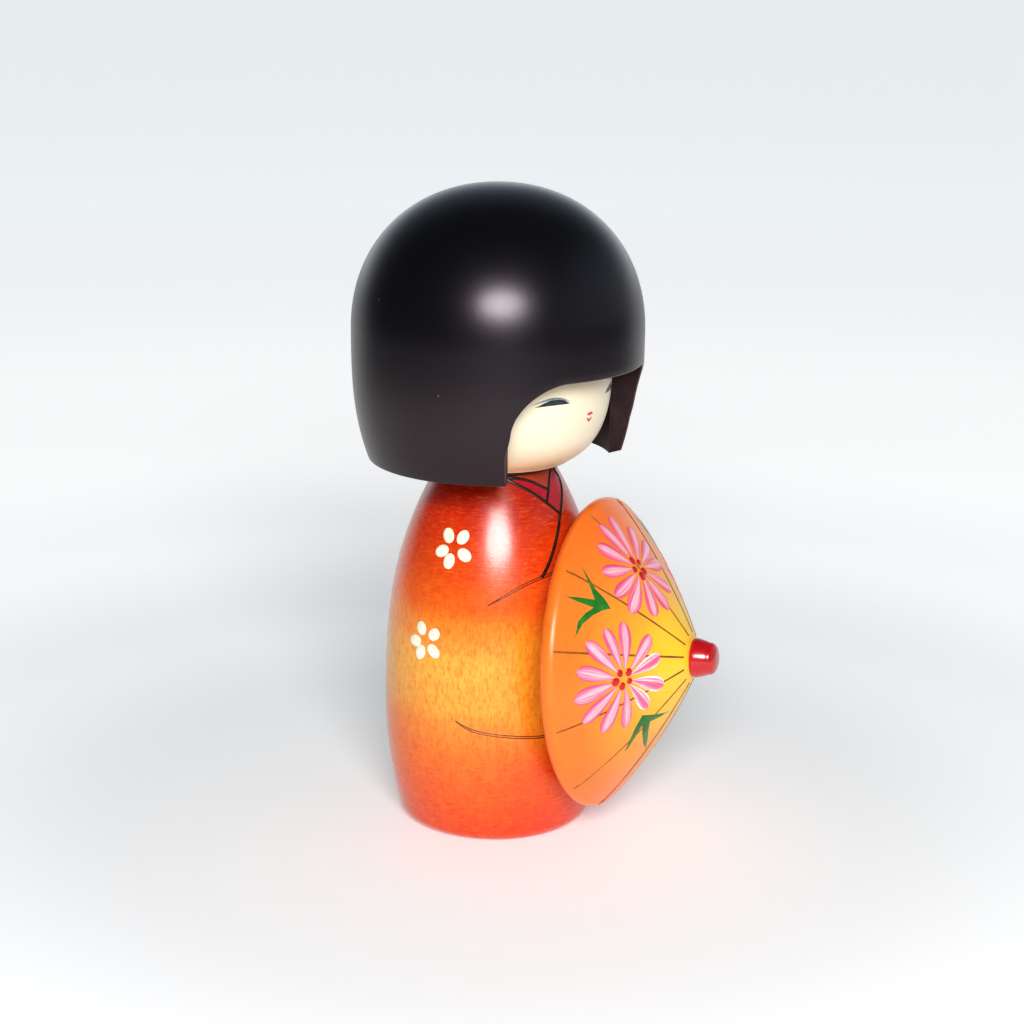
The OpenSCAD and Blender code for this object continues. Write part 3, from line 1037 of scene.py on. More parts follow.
@dataclass
class Torso:
    """The turned trunk with its painted collar, sleeve lines and blossoms. Lengths are in metres."""

    wide_r: float = 27.8 * MM
    wide_z: float = 30 * MM
    top_z: float = 92.7 * MM
    top_round: float = 0.8 * MM
    base_round: float = 4.2 * MM
    collar_r: float = 18 * MM
    line_w: float = 0.92 * MM
    neck_w: float = 1.4 * MM
    thin_w: float = 0.28 * MM
    lapel_inner: tuple[Point2, ...] = ((-46, 91.2), (-24, 90.1), (-4.6, 87.4))
    lapel_outer: tuple[Point2, ...] = ((-46, 91.0), (-24, 87.7), (-10.2, 84.5), (-0.8, 81.7))
    over_inner: tuple[Point2, ...] = ((14, 91.3), (2.3, 89.2), (-10.2, 84.9))
    over_outer: tuple[Point2, ...] = ((19.4, 91.1), (21.1, 88.8), (17, 86.7), (8.1, 84.2), (-0.8, 81.2),
                                      (-7, 78.2), (-14, 74.4), (-20.2, 70.9), (-26, 68.1))
    nape: tuple[tuple[Point2, ...], ...] = (
        ((14, 91.3), (30, 91.7), (180, 91.7), (300, 91.6), (314, 91.2)),
        ((19.4, 91.1), (35, 90.7), (180, 90.5), (300, 90.6), (314, 91.0)))
    sleeve_up: tuple[Point2, ...] = (
        (-57.4, 62.2), (-46.5, 64.8), (-34.9, 67.1), (-21.9, 68.5), (-12, 69.2))
    sleeve_low: tuple[Point2, ...] = ((-73.3, 33.1), (-65.7, 31.3), (-54.6, 30.2), (-40.5, 29.4),
                                      (-28.3, 28.9), (-14, 28.7))
    blossoms: tuple[tuple[float, float, float], ...] = (
        (-80.7, 74.9, 129), (-92.2, 51.7, 117), (-158, 66, 100), (-172, 36, 130), (158, 77, 95),
        (120, 54, 120), (150, 22, 110), (84, 74, 135), (84, 26, 105))

    def radius(self, z: Array) -> Array:
        """The trunk's radius at a height."""
        rise = self.top_z - self.top_round - self.wide_z
        up = np.clip((z - self.wide_z) / rise, 0, 1.1)
        down = np.clip((self.wide_z - z) / self.wide_z, 0, 1.1)
        return self.wide_r * (1 - 0.5 * up**2.7 - 0.155 * down**1.9)

    def surface(self, chart_radius: float | None = None) -> TurnedSurface:
        """The trunk's skin, charted at its widest radius unless another is given."""
        return TurnedSurface(upright(), self.radius, chart_radius or self.wide_r)

    def outline(self) -> list[Point2]:
        """The turned outline from the middle of the base to the middle of the flat top."""
        lean = math.radians(14)
        rim_z = self.base_round * (1 - math.sin(lean))
        rim_r = float(self.radius(np.array(rim_z))) - self.base_round * math.cos(lean)
        top_r = float(self.radius(np.array(self.top_z - self.top_round)))
        points = [(0.0, 0.0), (rim_r * 0.6, 0.0)]
        points += [(rim_r + self.base_round * math.cos(a), self.base_round * (1 + math.sin(a)))
                   for a in np.linspace(-math.pi / 2, -lean, 14)]
        points += profile(self.radius, np.linspace(rim_z + 0.6 * MM, self.top_z - self.top_round, 96))
        points += [(top_r - self.top_round * (1 - math.cos(a)),
                    self.top_z - self.top_round * (1 - math.sin(a)))
                   for a in np.linspace(0.3, math.pi / 2, 6)]
        return points + [(top_r * 0.5, self.top_z), (0.0, self.top_z)]

    def on_chart(self, stations: Sequence[Point2], chart_radius: float, smooth: bool = True) -> Array:
        """Chart coordinates of (azimuth in degrees, height in mm) stations."""
        curve = smooth_through(stations) if smooth else np.array(stations, float)
        return np.stack([np.radians(curve[:, 0]) * chart_radius, curve[:, 1] * MM], axis=1)

    def stroke(self, name: str, paths: Sequence[Sequence[Point2]], width: float,
               paint: Paints) -> bpy.types.Object:
        """Brush strokes of one width that follow (azimuth, height) stations over the trunk."""
        surface = self.surface()
        source = path_object("path", [surface.chart(*self.on_chart(path, self.wide_r).T, -0.3 * width / 2)
                                      for path in paths])
        return stroke_tree(paint, width).apply(name, source)

    def collar_fills(self) -> list[bpy.types.Object]:
        """The chest triangle and the two lapels as thin coats of paint."""
        skin = self.surface(self.collar_r)
        inner, outer, over_in, over_out = (
            self.on_chart(s, self.collar_r) for s in
            (self.lapel_inner, self.lapel_outer, self.over_inner, self.over_outer[:5]))
        top = self.on_chart(((-46, 91.85), (14, 91.85)), self.collar_r, smooth=False)
        shapes = {
            ("chest_triangle", Paints.CHEST): np.vstack([top, over_in[:12], inner[::-1]]),
            ("right_lapel", Paints.CRIMSON): np.vstack([inner, over_in[-8:], outer[-12::-1]]),
            ("left_lapel", Paints.CRIMSON): np.vstack([over_in, outer[-9:], over_out[::-1]]),
        }
        return [PaintPatch(name, shape, paint, 0.05 * MM, 0.2 * MM).lay(skin)
                for (name, paint), shape in shapes.items()]

    def sleeves(self) -> list[Sequence[Point2]]:
        """Both sleeves' double lines, with a closed tip at each outer end."""
        out = []
        for line in (self.sleeve_up, self.sleeve_low):
            for gap in (0.26, -0.26):
                path = [(az, z + gap * min(1.0, k / 0.8)) for k, (az, z) in enumerate(line)]
                out += [path, [(-az, z) for az, z in path]]
        return out

    def blossom_dabs(self) -> list[tuple[float, float, float, float]]:
        """Five white dabs around each blossom's middle."""
        out = []
        for az, z, first in self.blossoms:
            local = float(self.radius(np.array(z * MM))) / self.wide_r
            for k in range(5):
                a = math.radians(first - 77 * k if k < 4 else first + 72)
                across = math.radians(az) * self.wide_r + 3.28 * MM * math.cos(a) / local
                out.append((across, z * MM + 3.28 * MM * math.sin(a), a, 1.0))
        return out

    def build(self) -> None:
        """Makes every torso piece."""
        trunk = lathe("trunk", self.outline(), upright(), [Paints.TORSO])
        finished(trunk, "torso", ["torso"])
        for fill in self.collar_fills():
            finished(fill, "torso")
        rim = [(az, 91.9) for az in range(-180, 181, 10)]
        lines = [self.lapel_inner, self.lapel_outer, self.over_inner, self.over_outer, *self.nape]
        finished(self.stroke("neck_line", [rim], self.neck_w, Paints.BURN), "torso")
        finished(self.stroke("collar_lines", lines, self.line_w, Paints.BURN), "torso")
        finished(self.stroke("sleeve_lines", self.sleeves(), self.thin_w, Paints.SEAM), "torso")
        skin = self.surface()
        dabs = dab_tree(Paints.BLOSSOM, 3.0 * MM, 3.75 * MM, 0.34 * MM)
        finished(dabs.apply("blossoms", dab_source(skin, self.blossom_dabs())), "torso")


@dataclass
class Face:
    """The face block with painted eyes and mouth."""

    chin_z: float = 92.9 * MM
    cheek_z: float = 119.5 * MM
    top_z: float = 134 * MM
    full_r: float = 28 * MM
    drop: float = 28.8 * MM
    power: float = 3.13

    def radius(self, z: Array) -> Array:
        """The block's radius at a height."""
        share = np.clip((self.cheek_z - z) / self.drop, 0, 0.99)
        return self.full_r * (1 - share**self.power) ** (1 / self.power)

    def outline(self) -> list[Point2]:
        """The turned outline, with the neck's blind hole from below."""
        neck_r, neck_top = 6.05 * MM, self.cheek_z - 4 * MM
        chin_r = float(self.radius(np.array(self.chin_z + 0.5 * MM)))
        points = [(0.0, neck_top), (neck_r, neck_top), (neck_r, self.chin_z),
                  (chin_r - 1.2 * MM, self.chin_z), (chin_r - 0.35 * MM, self.chin_z + 0.12 * MM)]
        points += profile(self.radius, np.linspace(self.chin_z + 0.5 * MM, self.cheek_z, 60))
        return points + [(self.full_r, self.top_z - 2 * MM), (self.full_r - 2 * MM, self.top_z),
                         (0.0, self.top_z)]

    def features(self) -> list[PaintPatch]:
        """Closed eyes under grey lids, and a small mouth of two strokes, in chart millimetres."""
        patches = []
        for side, flip in (("right", 1), ("left", -1)):
            eye = arc((-17.1, 110.85), (-7.5, 111.0), 1.5, 20, 1.25)
            eye += arc((-7.5, 111.0), (-17.1, 110.85), 0.1)[1:-1]
            lid = arc((-18.3, 111.3), (-6.9, 111.15), 1.72, 24, 1.2)
            lid += arc((-18.3, 111.3), (-6.9, 111.15), 1.05, 24, 1.2)[-2:0:-1]
            for name, shape, paint, coat in ((f"{side}_lid", lid, Paints.LID, 0.05),
                                             (f"{side}_eye", eye, Paints.EYE, 0.09)):
                outline = [(flip * x * MM, z * MM) for x, z in shape]
                patches.append(PaintPatch(name, outline, paint, coat * MM, 0.25 * MM, step=0.22 * MM))
        upper = [(-1.3, 107.2), (-1.0, 107.65), (-0.5, 107.9), (0.0, 107.68), (0.5, 107.9), (1.0, 107.65),
                 (1.3, 107.2), (0.65, 107.15), (0.0, 106.95), (-0.65, 107.15)]
        lower = [(-1.1, 106.6), (-0.5, 106.3), (0.0, 106.12), (0.5, 106.3), (1.1, 106.6), (0.85, 105.95),
                 (0.0, 105.3), (-0.85, 105.95)]
        for name, shape in (("upper_lip", upper), ("lower_lip", lower)):
            outline = [((x + 0.24) * MM, z * MM) for x, z in shape]
            patches.append(PaintPatch(name, outline, Paints.LIPS, 0.1 * MM, 0.2 * MM, step=0.12 * MM))
        return patches

    def build(self) -> None:
        """Makes the face block and everything painted on it."""
        block = lathe("face", self.outline(), upright(), [Paints.FACE])
        finished(block, "head", ["face_block"])
        skin = TurnedSurface(upright(), self.radius, self.full_r)
        for patch in self.features():
            finished(patch.lay(skin), "head")


@dataclass
class HairCap:
    """The bobbed hair: a shell with a face window whose edges are rounded over and worn."""

    wide_r: float = 35.7 * MM
    wide_z: float = 124.7 * MM
    hem_z: float = 93 * MM
    hem_r: float = 31.6 * MM
    crown: float = 35.3 * MM
    crown_power: float = 2.13
    bore_r: float = 28.05 * MM
    bore_top: float = 134 * MM
    fringe_z: float = 117.5 * MM
    window_half: float = 25.8 * MM
    corner_r: float = 11 * MM
    near_lock: tuple[float, float] = (math.radians(58.8), 22.8 * MM)
    far_lock: tuple[float, float] = (math.radians(69.5), 20.1 * MM)
    skin_y: float = 20 * MM
    rounding: float = 0.55 * MM
    turns: int = 192

    def radius(self, z: Array) -> Array:
        """The outer wall's radius at a height up to the widest ring."""
        share = np.clip((self.wide_z - z) / (self.wide_z - self.hem_z), 0, 1.2)
        return self.wide_r - (self.wide_r - self.hem_r) * share**2.9

    def bore(self, z: Array) -> Array:
        """The bore's radius, the same at every height."""
        return np.full(np.shape(z), self.bore_r)

    def edge_path(self, radius: Callable[[Array], Array]) -> Array:
        """The lower edge of one wall as (angle, height), from the nape round over the window and back.

        Args:
            radius: The wall's radius at a height.

        Returns:
            One row per station; the stations of both walls answer each other.
        """
        corner_z = self.fringe_z - self.corner_r
        flat = self.window_half - self.corner_r
        lift = np.linspace(0, math.pi / 2, 26)
        z = np.concatenate([np.linspace(self.hem_z, corner_z, 24)[:-1],
                            corner_z + self.corner_r * np.sin(lift)])
        half = np.concatenate([np.full(23, self.window_half), flat + self.corner_r * np.cos(lift)])
        r = radius(z)
        halves = []
        for splay, skin_half in (self.near_lock, self.far_lock):
            apex = (skin_half - self.skin_y * math.tan(splay)) * math.cos(splay)
            wedge = splay + np.arcsin(apex / r)
            side = np.minimum(wedge, np.arcsin(np.minimum(half / r, 1)))
            fringe = np.linspace(side[-1], 0, 20)[1:]
            hem = np.linspace(math.pi, side[0], 120)[:-1]
            angle = np.concatenate([hem, side, fringe])
            height = np.concatenate([np.full_like(hem, self.hem_z), z,
                                     np.full_like(fringe, self.fringe_z)])
            halves.append(np.stack([angle, height], axis=1))
        near, far = halves
        return np.vstack([near * (-1, 1), far[:-1][::-1]])

    def wall(self, radius: Callable[[Array], Array], path: Array, top: float, rounding: float,
             step: float) -> tuple[Array, list, Array]:
        """One wall of the shell above its edge path.

        Args:
            radius: The wall's radius at a height.
            path: The lower edge, as edge_path gives it.
            top: Height of the wall's upper ring.
            rounding: Radius of the rounded-over edge, or 0.
            step: Spacing of the points away from the edge.

        Returns:
            Points, triangles, and the wear from 0 inside the wall to 1 at its edge.
        """
        scale = float(radius(np.array(self.wide_z)))
        edge = path * (scale, 1)
        ring = np.linspace(math.pi, -math.pi, self.turns + 1) * scale
        upper = np.stack([ring, np.full(len(ring), top)], axis=1)
        seam = np.linspace(self.hem_z, top, 20)[1:-1]
        right = np.stack([np.full(len(seam), math.pi * scale), seam], axis=1)
        left = right[::-1] * (-1, 1)
        loop = np.vstack([edge, right, upper, left])
        extra = []
        before = np.diff(edge, axis=0, prepend=edge[:1] - (edge[1:2] - edge[:1]))
        after = np.diff(edge, axis=0, append=edge[-1:] + (edge[-1:] - edge[-2:-1]))
        normals = []
        for vectors in (before, after):
            unit = vectors / np.hypot(*vectors.T)[:, None]
            normals.append(np.stack([-unit[:, 1], unit[:, 0]], axis=1))
        bisector = normals[0] + normals[1]
        miter = bisector / np.maximum(np.sum(bisector * normals[0], axis=1), 0.4)[:, None]
        for share in (0.05, 0.16, 0.36, 0.66, 1.0) if rounding else ():
            row = edge + miter * rounding * share
            clear = distance_to(row, edge, False)
            within = np.abs(row[:, 0]) < math.pi * scale - 1e-6
            extra.append(row[(clear > rounding * share * 0.97) & within])
        grid = lattice(loop.min(0), loop.max(0), step)
        grid = grid[inside(grid, loop)]
        grid = grid[distance_to(grid, edge, False) > rounding + 0.5 * step]
        grid = grid[distance_to(grid, loop[len(edge) - 1:], False) > 0.45 * step]
        extra.append(grid)
        flat, triangles = triangulate(loop, np.vstack(extra))
        depth = distance_to(flat, edge, False)
        depth[depth < 0.01 * MM] = 0.0
        lift = np.zeros(len(flat))
        if rounding:
            inward = np.clip(rounding - depth, 0, rounding)
            lift = np.sqrt(rounding**2 - inward**2) - rounding
        surface = TurnedSurface(upright(), radius, scale)
        wear = np.clip(1 - depth / (2.2 * max(rounding, 0.1 * MM)), 0, 1)
        return surface.chart(*flat.T, lift), [tuple(int(i) for i in t) for t in triangles], wear

    def build(self) -> None:
        """Makes the hair as one closed shell."""
        points, faces, slots, wear = [], [], [], []

        def join(more: Array, shapes: list, slot: int, worn: Array | float = 0.0) -> None:
            """Adds points, faces over them, and their wear."""
            first = len(points)
            points.extend(more)
            faces.extend(tuple(first + i for i in face) for face in shapes)
            slots.extend([slot] * len(shapes))
            wear.extend(np.broadcast_to(worn, len(more)))

        outer, inner = self.edge_path(self.radius), self.edge_path(self.bore)
        skin, shapes, worn = self.wall(self.radius, outer, self.wide_z, self.rounding, 1.5 * MM)
        join(skin, shapes, 0, worn)
        join(*self.wall(self.bore, inner, self.bore_top, 0.0, 3 * MM)[:2], 1)

        count = len(outer)
        rim_out = TurnedSurface(upright(), self.radius, 1.0).at(*outer.T, np.full(count, -self.rounding))
        rim_in = TurnedSurface(upright(), self.bore, 1.0).at(*inner.T)
        strip = [(k, k + 1, count + k + 1, count + k) for k in range(count - 1)]
        join(np.vstack([rim_out, rim_in]), strip, 1, np.repeat([1.0, 0.0], count))

        angles = np.linspace(-math.pi, math.pi, self.turns + 1)

        def circle(r: float, z: float) -> Array:
            """A level ring of points that starts and ends at the nape."""
            return np.stack([r * np.sin(angles), -r * np.cos(angles), np.full_like(angles, z)], axis=1)

        rise = np.linspace(0, math.pi / 2, 44)
        rings = []
        for a in rise:
            r = self.wide_r * max(math.cos(a), 0) ** (2 / self.crown_power)
            z = self.wide_z + self.crown * math.sin(a) ** (2 / self.crown_power)
            rings.append(circle(r, z))
        width = self.turns + 1
        dome = [(row * width + k, row * width + k + 1, (row + 1) * width + k + 1, (row + 1) * width + k)
                for row in range(len(rise) - 1) for k in range(self.turns)]
        join(np.vstack(rings), dome, 0)
        lid = np.vstack([circle(self.bore_r, self.bore_top), [[0, 0, self.bore_top]]])
        join(lid, [(k, k + 1, width) for k in range(self.turns)], 1)
        cap = mesh_object("hair", np.array(points), faces, [Paints.HAIR, Paints.CUT], slots, 40.0,
                          {"edge": np.array(wear)})
        finished(cap, "head", ["hair_cap"])


@dataclass
class Parasol:
    """The open parasol, turned about its own axis: canopy, painted flowers and leaves, finial."""

    axis_z: float = 44.2 * MM
    turn: float = math.radians(14.7)
    tilt: float = math.radians(3.8)
    back: float = 26.3 * MM
    rim_t: float = 4.8 * MM
    rim_r: float = 38.2 * MM
    tip_r: float = 4.6 * MM
    bow: float = 2.25 * MM
    length: float = 26.1 * MM
    first_rib: float = 12.9
    hub_stations: tuple[Point2, ...] = (
        (0.0, 40.4), (2.55, 40.4), (2.55, 28.1), (7.0, 28.1), (7.5, 28.6), (7.6, 29.6), (8.1, 30.55),
        (9.0, 30.8))
    hollow_stations: tuple[Point2, ...] = (
        (9.0, 30.8), (15.0, 30.7), (21.0, 30.1), (27.0, 28.9), (31.6, 27.2))
    lip_stations: tuple[Point2, ...] = ((32.4, 26.8), (32.9, 26.5), (33.5, 26.32), (34.6, 26.3))
    flowers: tuple[tuple[float, float, float, float], ...] = (
        (24.2, 103.5, 14, -9), (22.6, 177.4, -50, 1), (23.6, 22.0, 14, -9))
    first_leaf: tuple[Point2, ...] = (
        (-20.7, 17.6), (-21.0, 20.0), (-21.9, 22.5), (-21.9, 25.5), (-21.8, 28.2), (-22.4, 25.5),
        (-23.0, 22.6), (-23.5, 20.4), (-25.6, 21.3), (-27.5, 22.0), (-29.3, 22.6), (-27.6, 21.0),
        (-26.0, 19.8), (-24.6, 18.8), (-27.0, 18.1), (-29.4, 16.7), (-31.4, 13.2), (-28.7, 15.9),
        (-25.7, 17.2), (-23.0, 17.7))
    second_leaf: tuple[Point2, ...] = (
        (-16.4, -9.9), (-12.6, -10.9), (-9.2, -11.6), (-6.1, -12.1), (-9.4, -12.5), (-12.8, -12.7),
        (-11.8, -15.6), (-9.9, -18.6), (-8.1, -21.6), (-11.4, -18.9), (-13.7, -15.9), (-15.3, -12.9),
        (-16.1, -15.8), (-16.8, -18.0), (-17.5, -19.4), (-17.7, -16.4), (-17.4, -13.0))

    def place(self) -> Matrix:
        """The parasol's own frame: Z runs out along the axis and X lies level."""
        return (Matrix.Translation((0, 0, self.axis_z)) @ Matrix.Rotation(self.turn, 4, "Z")
                @ Matrix.Rotation(math.pi / 2 - self.tilt, 4, "X"))

    def cone(self, t: float) -> Point2:
        """A point of the cone, for a share t of the way from the rim to the tip."""
        radius = (self.rim_r - self.rim_t / 4) * (1 - t) + self.tip_r * t + self.bow * 4 * t * (1 - t)
        return radius, self.back + self.rim_t + (self.length - self.rim_t) * t

    def height(self, radius: Array) -> Array:
        """Distance along the axis at which the cone has a radius."""
        shares = np.linspace(1.02, 0, 400)
        table = np.array([self.cone(t) for t in shares])
        return np.interp(radius, table[:, 0], table[:, 1])

    def radius(self, height: Array) -> Array:
        """The cone's radius at a distance along the axis."""
        t = np.clip((height - self.back - self.rim_t) / (self.length - self.rim_t), -0.05, 1.05)
        return (self.rim_r - self.rim_t / 4) * (1 - t) + self.tip_r * t + self.bow * 4 * t * (1 - t)

    def rim(self, angles: Array) -> list[Point2]:
        """Points of the rounded rim's section, from 0 at its widest towards the cone."""
        half = self.rim_t / 2
        return [(self.rim_r - half + half * math.cos(a), self.back + half * (1 + math.sin(a)))
                for a in angles]

    def outline(self) -> tuple[list[Point2], list[int]]:
        """The canopy's outline from the blind end of the shaft's hole round to the finial's socket."""
        ceiling = smooth_through(self.hollow_stations, 6)[1:]
        hollow = [*self.hub_stations, *(tuple(p) for p in ceiling), *self.lip_stations]
        points = [(r * MM, h * MM) for r, h in hollow]
        back_count = len(points)
        points += self.rim(np.linspace(math.radians(-82), math.radians(58), 22))
        points += [self.cone(t) for t in np.linspace(0.035, 0.985, 60)]
        tip = self.back + self.length
        points += [(self.tip_r - 0.02 * MM, tip - 0.08 * MM), (self.tip_r - 0.15 * MM, tip)]
        points += [(2.05 * MM, tip), (2.05 * MM, tip - 6.3 * MM), (0.0, tip - 6.3 * MM)]
        slots = [1 if k < back_count + 2 else 0 for k in range(len(points))]
        return points, slots

    def shade(self, obj: bpy.types.Object) -> None:
        """Stores how far each point of a canopy in its own frame lies from tip to rim."""
        tip = self.back + self.length
        along = (tip - places(obj)[:, 2]) / (self.length - self.rim_t)
        store(obj.data, "to_rim", along)

    def petals(self, canopy: bpy.types.Object) -> bpy.types.Object:
        """Every flower's petals, draped over a canopy that is still in its own frame."""
        spots = [(r * MM * math.cos(math.radians(a)), r * MM * math.sin(math.radians(a)), 0)
                 for r, a, *_ in self.flowers]
        turns = [math.radians(turn) for _, _, turn, _ in self.flowers]
        source = point_cloud("flowers", np.array(spots), turn=turns, edged=[f[3] for f in self.flowers])
        return petal_tree(canopy, 1.197).apply("daisy_petals", source, self.place())

    def hearts(self, skin: PlanSurface) -> bpy.types.Object:
        """Five red dabs in the middle of each flower."""
        dabs = []
        for r, a, turn, _ in self.flowers:
            x, y = r * math.cos(math.radians(a)), r * math.sin(math.radians(a))
            for k in range(5):
                b = math.radians(turn + 20 + 72 * k)
                ring = 1.95 if k % 2 else 1.75
                dabs.append(((x + ring * math.cos(b)) * MM, (y + ring * math.sin(b)) * MM, b,
                             0.82 + 0.3 * ((k * 3) % 5) / 4))
        tree = dab_tree(Paints.HEART, 1.85 * MM, 2.05 * MM, 0.36 * MM)
        return tree.apply("daisy_hearts", dab_source(skin, dabs))

    def ribs(self) -> bpy.types.Object:
        """Twelve thin lines from the tip to the rim."""
        width = 0.6 * MM
        a = math.radians(self.first_rib)
        stations = []
        section = [(r * MM, float(self.height(np.array(r * MM)))) for r in np.linspace(6.0, 36.9, 60)]
        section += self.rim(np.radians((52, 45, 38)))
        for r, h in section:
            stations.append((r * math.cos(a), r * math.sin(a), h - 0.2 * MM))
        tree = stroke_tree(Paints.RIB, width)
        tree.inputs["Copies"] = 12
        return tree.apply("canopy_ribs", path_object("rib", [np.array(stations)]), self.place())

    def leaves(self, skin: PlanSurface) -> list[bpy.types.Object]:
        """The two painted leaves, each repeated once on the far half of the canopy."""
        made = []
        for name, shape, turns in (("first_leaf", self.first_leaf, (0, -89)),
                                   ("second_leaf", self.second_leaf, (0, 107))):
            for number, turn in enumerate(turns):
                c, s = math.cos(math.radians(turn)), math.sin(math.radians(turn))
                turned = [((x * c - y * s) * MM, (x * s + y * c) * MM) for x, y in shape]
                patch = PaintPatch(f"{name}_{number}", turned, Paints.LEAF, build_up=0.12 * MM,
                                   edge=0.5 * MM, step=0.4 * MM)
                made.append(patch.lay(skin))
        return made

    def finial(self) -> bpy.types.Object:
        """The red cap at the tip, with a tenon in the canopy."""
        tip = 52.4
        outline = [(0, tip - 6), (2, tip - 6), (2, tip), (4.4, tip), (4.75, tip + 0.15), (4.9, tip + 0.6)]
        outline += [(4.9 - 0.9 * ((h - 0.6) / 3.4) ** 1.3, tip + h) for h in np.linspace(0.9, 4.0, 8)]
        outline += [(4.0 * math.cos(a) ** 0.8, tip + 4 + 2 * math.sin(a) ** 0.9)
                    for a in np.linspace(0.12, math.pi / 2 - 0.06, 12)]
        outline.append((0, tip + 6))
        return lathe("finial", [(r * MM, h * MM) for r, h in outline], self.place(), [Paints.FINIAL])

    def build(self) -> None:
        """Makes every parasol piece but the shaft, which stays the frame's own."""
        outline, slots = self.outline()
        canopy = lathe("canopy", outline, Matrix.Identity(4), [Paints.CANOPY, Paints.HOLLOW], slots)
        self.shade(canopy)
        skin = PlanSurface(self.place(), self.radius, 1.0, self.height)
        painted = [self.petals(canopy), self.ribs(), self.hearts(skin), *self.leaves(skin)]
        canopy.data.transform(self.place())
        finished(canopy, "parasol", ["parasol_canopy"])
        for piece in painted:
            finished(piece, "parasol")
        finished(self.finial(), "parasol", ["parasol_finial"])


# ---------------------------------------------------------------- studio


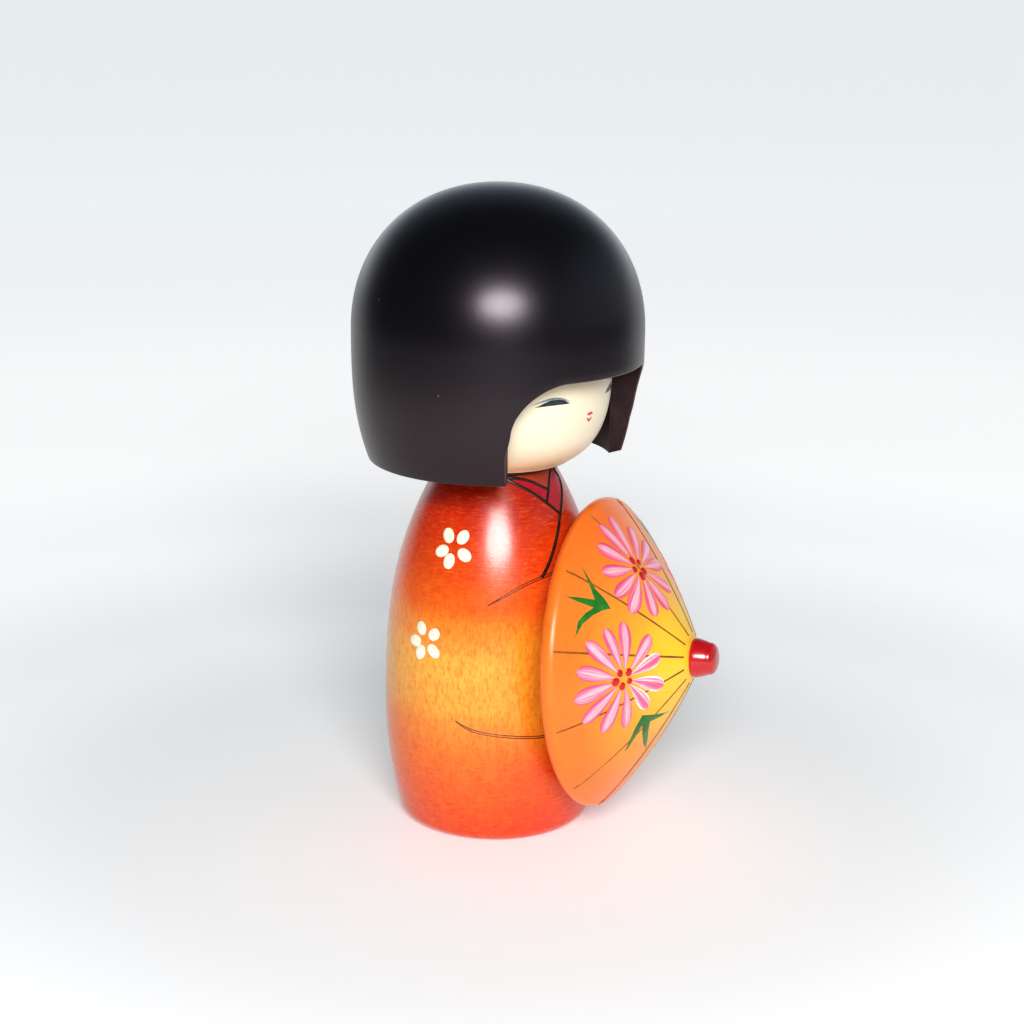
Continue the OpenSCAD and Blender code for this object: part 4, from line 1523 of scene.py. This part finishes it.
@dataclass
class Studio:
    """The camera, the pale floor, the soft key light and the surroundings."""

    camera_at: tuple[float, float, float] = (-0.4004, -0.3018, 0.2142)
    heading: float = math.radians(-53 - 0.43)
    pitch: float = math.radians(15.13)
    roll: float = math.radians(-0.57)
    lens: float = 73.44
    aim: tuple[float, float, float] = (0.0, 0.0, 0.09)
    key_heading: float = math.radians(-50)
    key_rise: float = math.radians(25.7)
    key_distance: float = 1.15
    key_size: tuple[float, float] = (0.64, 0.36)
    key_power: float = 13.2
    glow_reach: float = 1.5
    # Painted light: the floor's own glow, by distance from the doll.
    floor_painted_glow: tuple[tuple[float, Colour], ...] = (
        (0.06, (0.19, 0.19, 0.19)), (0.11, (0.29, 0.285, 0.285)), (0.18, (0.42, 0.41, 0.405)),
        (0.27, (0.5, 0.49, 0.48)), (0.4, (0.53, 0.52, 0.51)), (0.6, (0.525, 0.525, 0.52)),
        (0.93, (0.55, 0.56, 0.555)))

    @staticmethod
    def camera_side(turn: float = 0.0) -> tuple[float, float, float]:
        """The level direction from the doll to the camera, turned about the upright axis."""
        a = math.radians(-53) + turn
        return math.sin(a), -math.cos(a), 0.0

    def build_camera(self) -> None:
        """Makes the camera and makes it the scene's own."""
        data = bpy.data.cameras.new("camera")
        data.lens, data.sensor_width = self.lens, 36.0
        camera = linked("camera", data)
        ahead = Vector((-math.sin(self.heading) * math.cos(self.pitch),
                        math.cos(self.heading) * math.cos(self.pitch), -math.sin(self.pitch)))
        right = ahead.cross(Vector((0, 0, 1))).normalized()
        up = right.cross(ahead)
        c, s = math.cos(self.roll), math.sin(self.roll)
        right, up = c * right - s * up, s * right + c * up
        matrix = Matrix((right, up, -ahead)).transposed().to_4x4()
        matrix.translation = Vector(self.camera_at)
        camera.matrix_world = matrix
        bpy.context.scene.camera = camera

    def build_floor(self) -> None:
        """Makes the wide pale floor. It glows with painted light, weakly near the doll and more strongly
        further out, and for rays other than the camera's it turns black far out on the camera's side:
        painted darkness for reflections and bounced light.
        """
        mesh = bpy.data.meshes.new("floor")
        count, reach = 96, 40.0
        ring = [(reach * math.cos(2 * math.pi * k / count), reach * math.sin(2 * math.pi * k / count), 0)
                for k in range(count)]
        mesh.from_pydata(ring, [], [tuple(range(count))])
        floor = linked("floor", mesh)
        paper = bpy.data.materials.new("floor_paper")
        nodes = cleared(paper)
        tooth = nodes.noise(nodes.place((300, 300, 300)), 1.0, 3.0)
        colour = nodes.mix(tooth * 0.3, (0.86, 0.865, 0.865), (0.88, 0.88, 0.875))
        spot = nodes.place()
        away = nodes.add("ShaderNodeVectorMath", {"operation": "LENGTH"}, {0: spot}, output="Value")
        toward = nodes.dot(nodes.vector("NORMALIZE", spot), self.camera_side())
        unseen = 1 - nodes.add("ShaderNodeLightPath", output="Is Camera Ray")
        # Painted darkness: for rays other than the camera's, the floor far out on the camera's side turns
        # black, so reflections and bounced light see a dark room there.
        dark = away.ramp(0.3, 0.7) * toward.ramp(-0.75, -0.3) * unseen * 0.93
        colour = nodes.mix(dark, colour, (0.0, 0.0, 0.0))
        # Painted light: the floor glows, weakly near the doll and more strongly further out, though no
        # lamp lights it so.
        glow = nodes.add("ShaderNodeValToRGB", {"stops": self.floor_painted_glow}, {0: away / self.glow_reach})
        glow = nodes.mix(dark, glow, (0.0, 0.0, 0.0))
        shader = nodes.add("ShaderNodeBsdfPrincipled", None,
                           {"Base Color": colour, "Roughness": 0.75, "Specular IOR Level": 0.2,
                            "Emission Color": glow, "Emission Strength": 1.0})
        nodes.make("ShaderNodeOutputMaterial", None, {0: shader})
        mesh.materials.append(paper)

    def build_key(self) -> None:
        """Makes the soft key light beside the camera."""
        data = bpy.data.lights.new("key", "AREA")
        data.shape, data.energy = "ELLIPSE", self.key_power
        data.size, data.size_y = self.key_size
        key = linked("key", data)
        out = Vector((math.sin(self.key_heading) * math.cos(self.key_rise),
                      -math.cos(self.key_heading) * math.cos(self.key_rise), math.sin(self.key_rise)))
        key.location = Vector(self.aim) + out * self.key_distance
        key.rotation_euler = out.to_track_quat("Z", "Y").to_euler()

    def build_surroundings(self) -> None:
        """Makes a bright room that is dark on the camera's side, so that dark lacquer stays dark."""
        world = bpy.data.worlds.new("studio")
        nodes = cleared(world)
        way = nodes.add("ShaderNodeTexCoord", output="Generated")
        toward = nodes.dot(way, self.camera_side())
        right = nodes.dot(way, self.camera_side(math.pi / 2))
        up = nodes.split(way)[2]
        light = 0.07 + 1.2 * toward.ramp(-0.45, -0.95) * (1 - 0.75 * up.ramp(0.05, 0.5))
        light = light + 0.35 * right.ramp(0.55, 0.95)
        seen = nodes.add("ShaderNodeLightPath", output="Is Camera Ray")
        strength = light + (0.97 - light) * seen
        colour = nodes.mix(up.ramp(-0.2, 0.6), (1.0, 0.985, 0.97), (0.78, 0.97, 1.12))
        shader = nodes.add("ShaderNodeBackground", None, {"Color": colour, "Strength": strength})
        nodes.make("ShaderNodeOutputWorld", None, {0: shader})
        bpy.context.scene.world = world
        view = bpy.context.scene.view_settings
        view.view_transform, view.look = "Standard", "Medium High Contrast"


def main() -> None:
    """Builds the doll around the frame."""
    logging.basicConfig(level=logging.INFO, format="%(message)s")
    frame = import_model()
    studio = Studio()
    studio.build_camera()
    studio.build_floor()
    studio.build_key()
    studio.build_surroundings()
    for name in ("neck_dowel", "parasol_shaft"):
        for place in frame["nodes"][name].material_slots:
            place.material = Paints.BARE.material()
    for part in (Torso(), Face(), HairCap(), Parasol()):
        part.build()


if __name__ == "__main__":
    main()
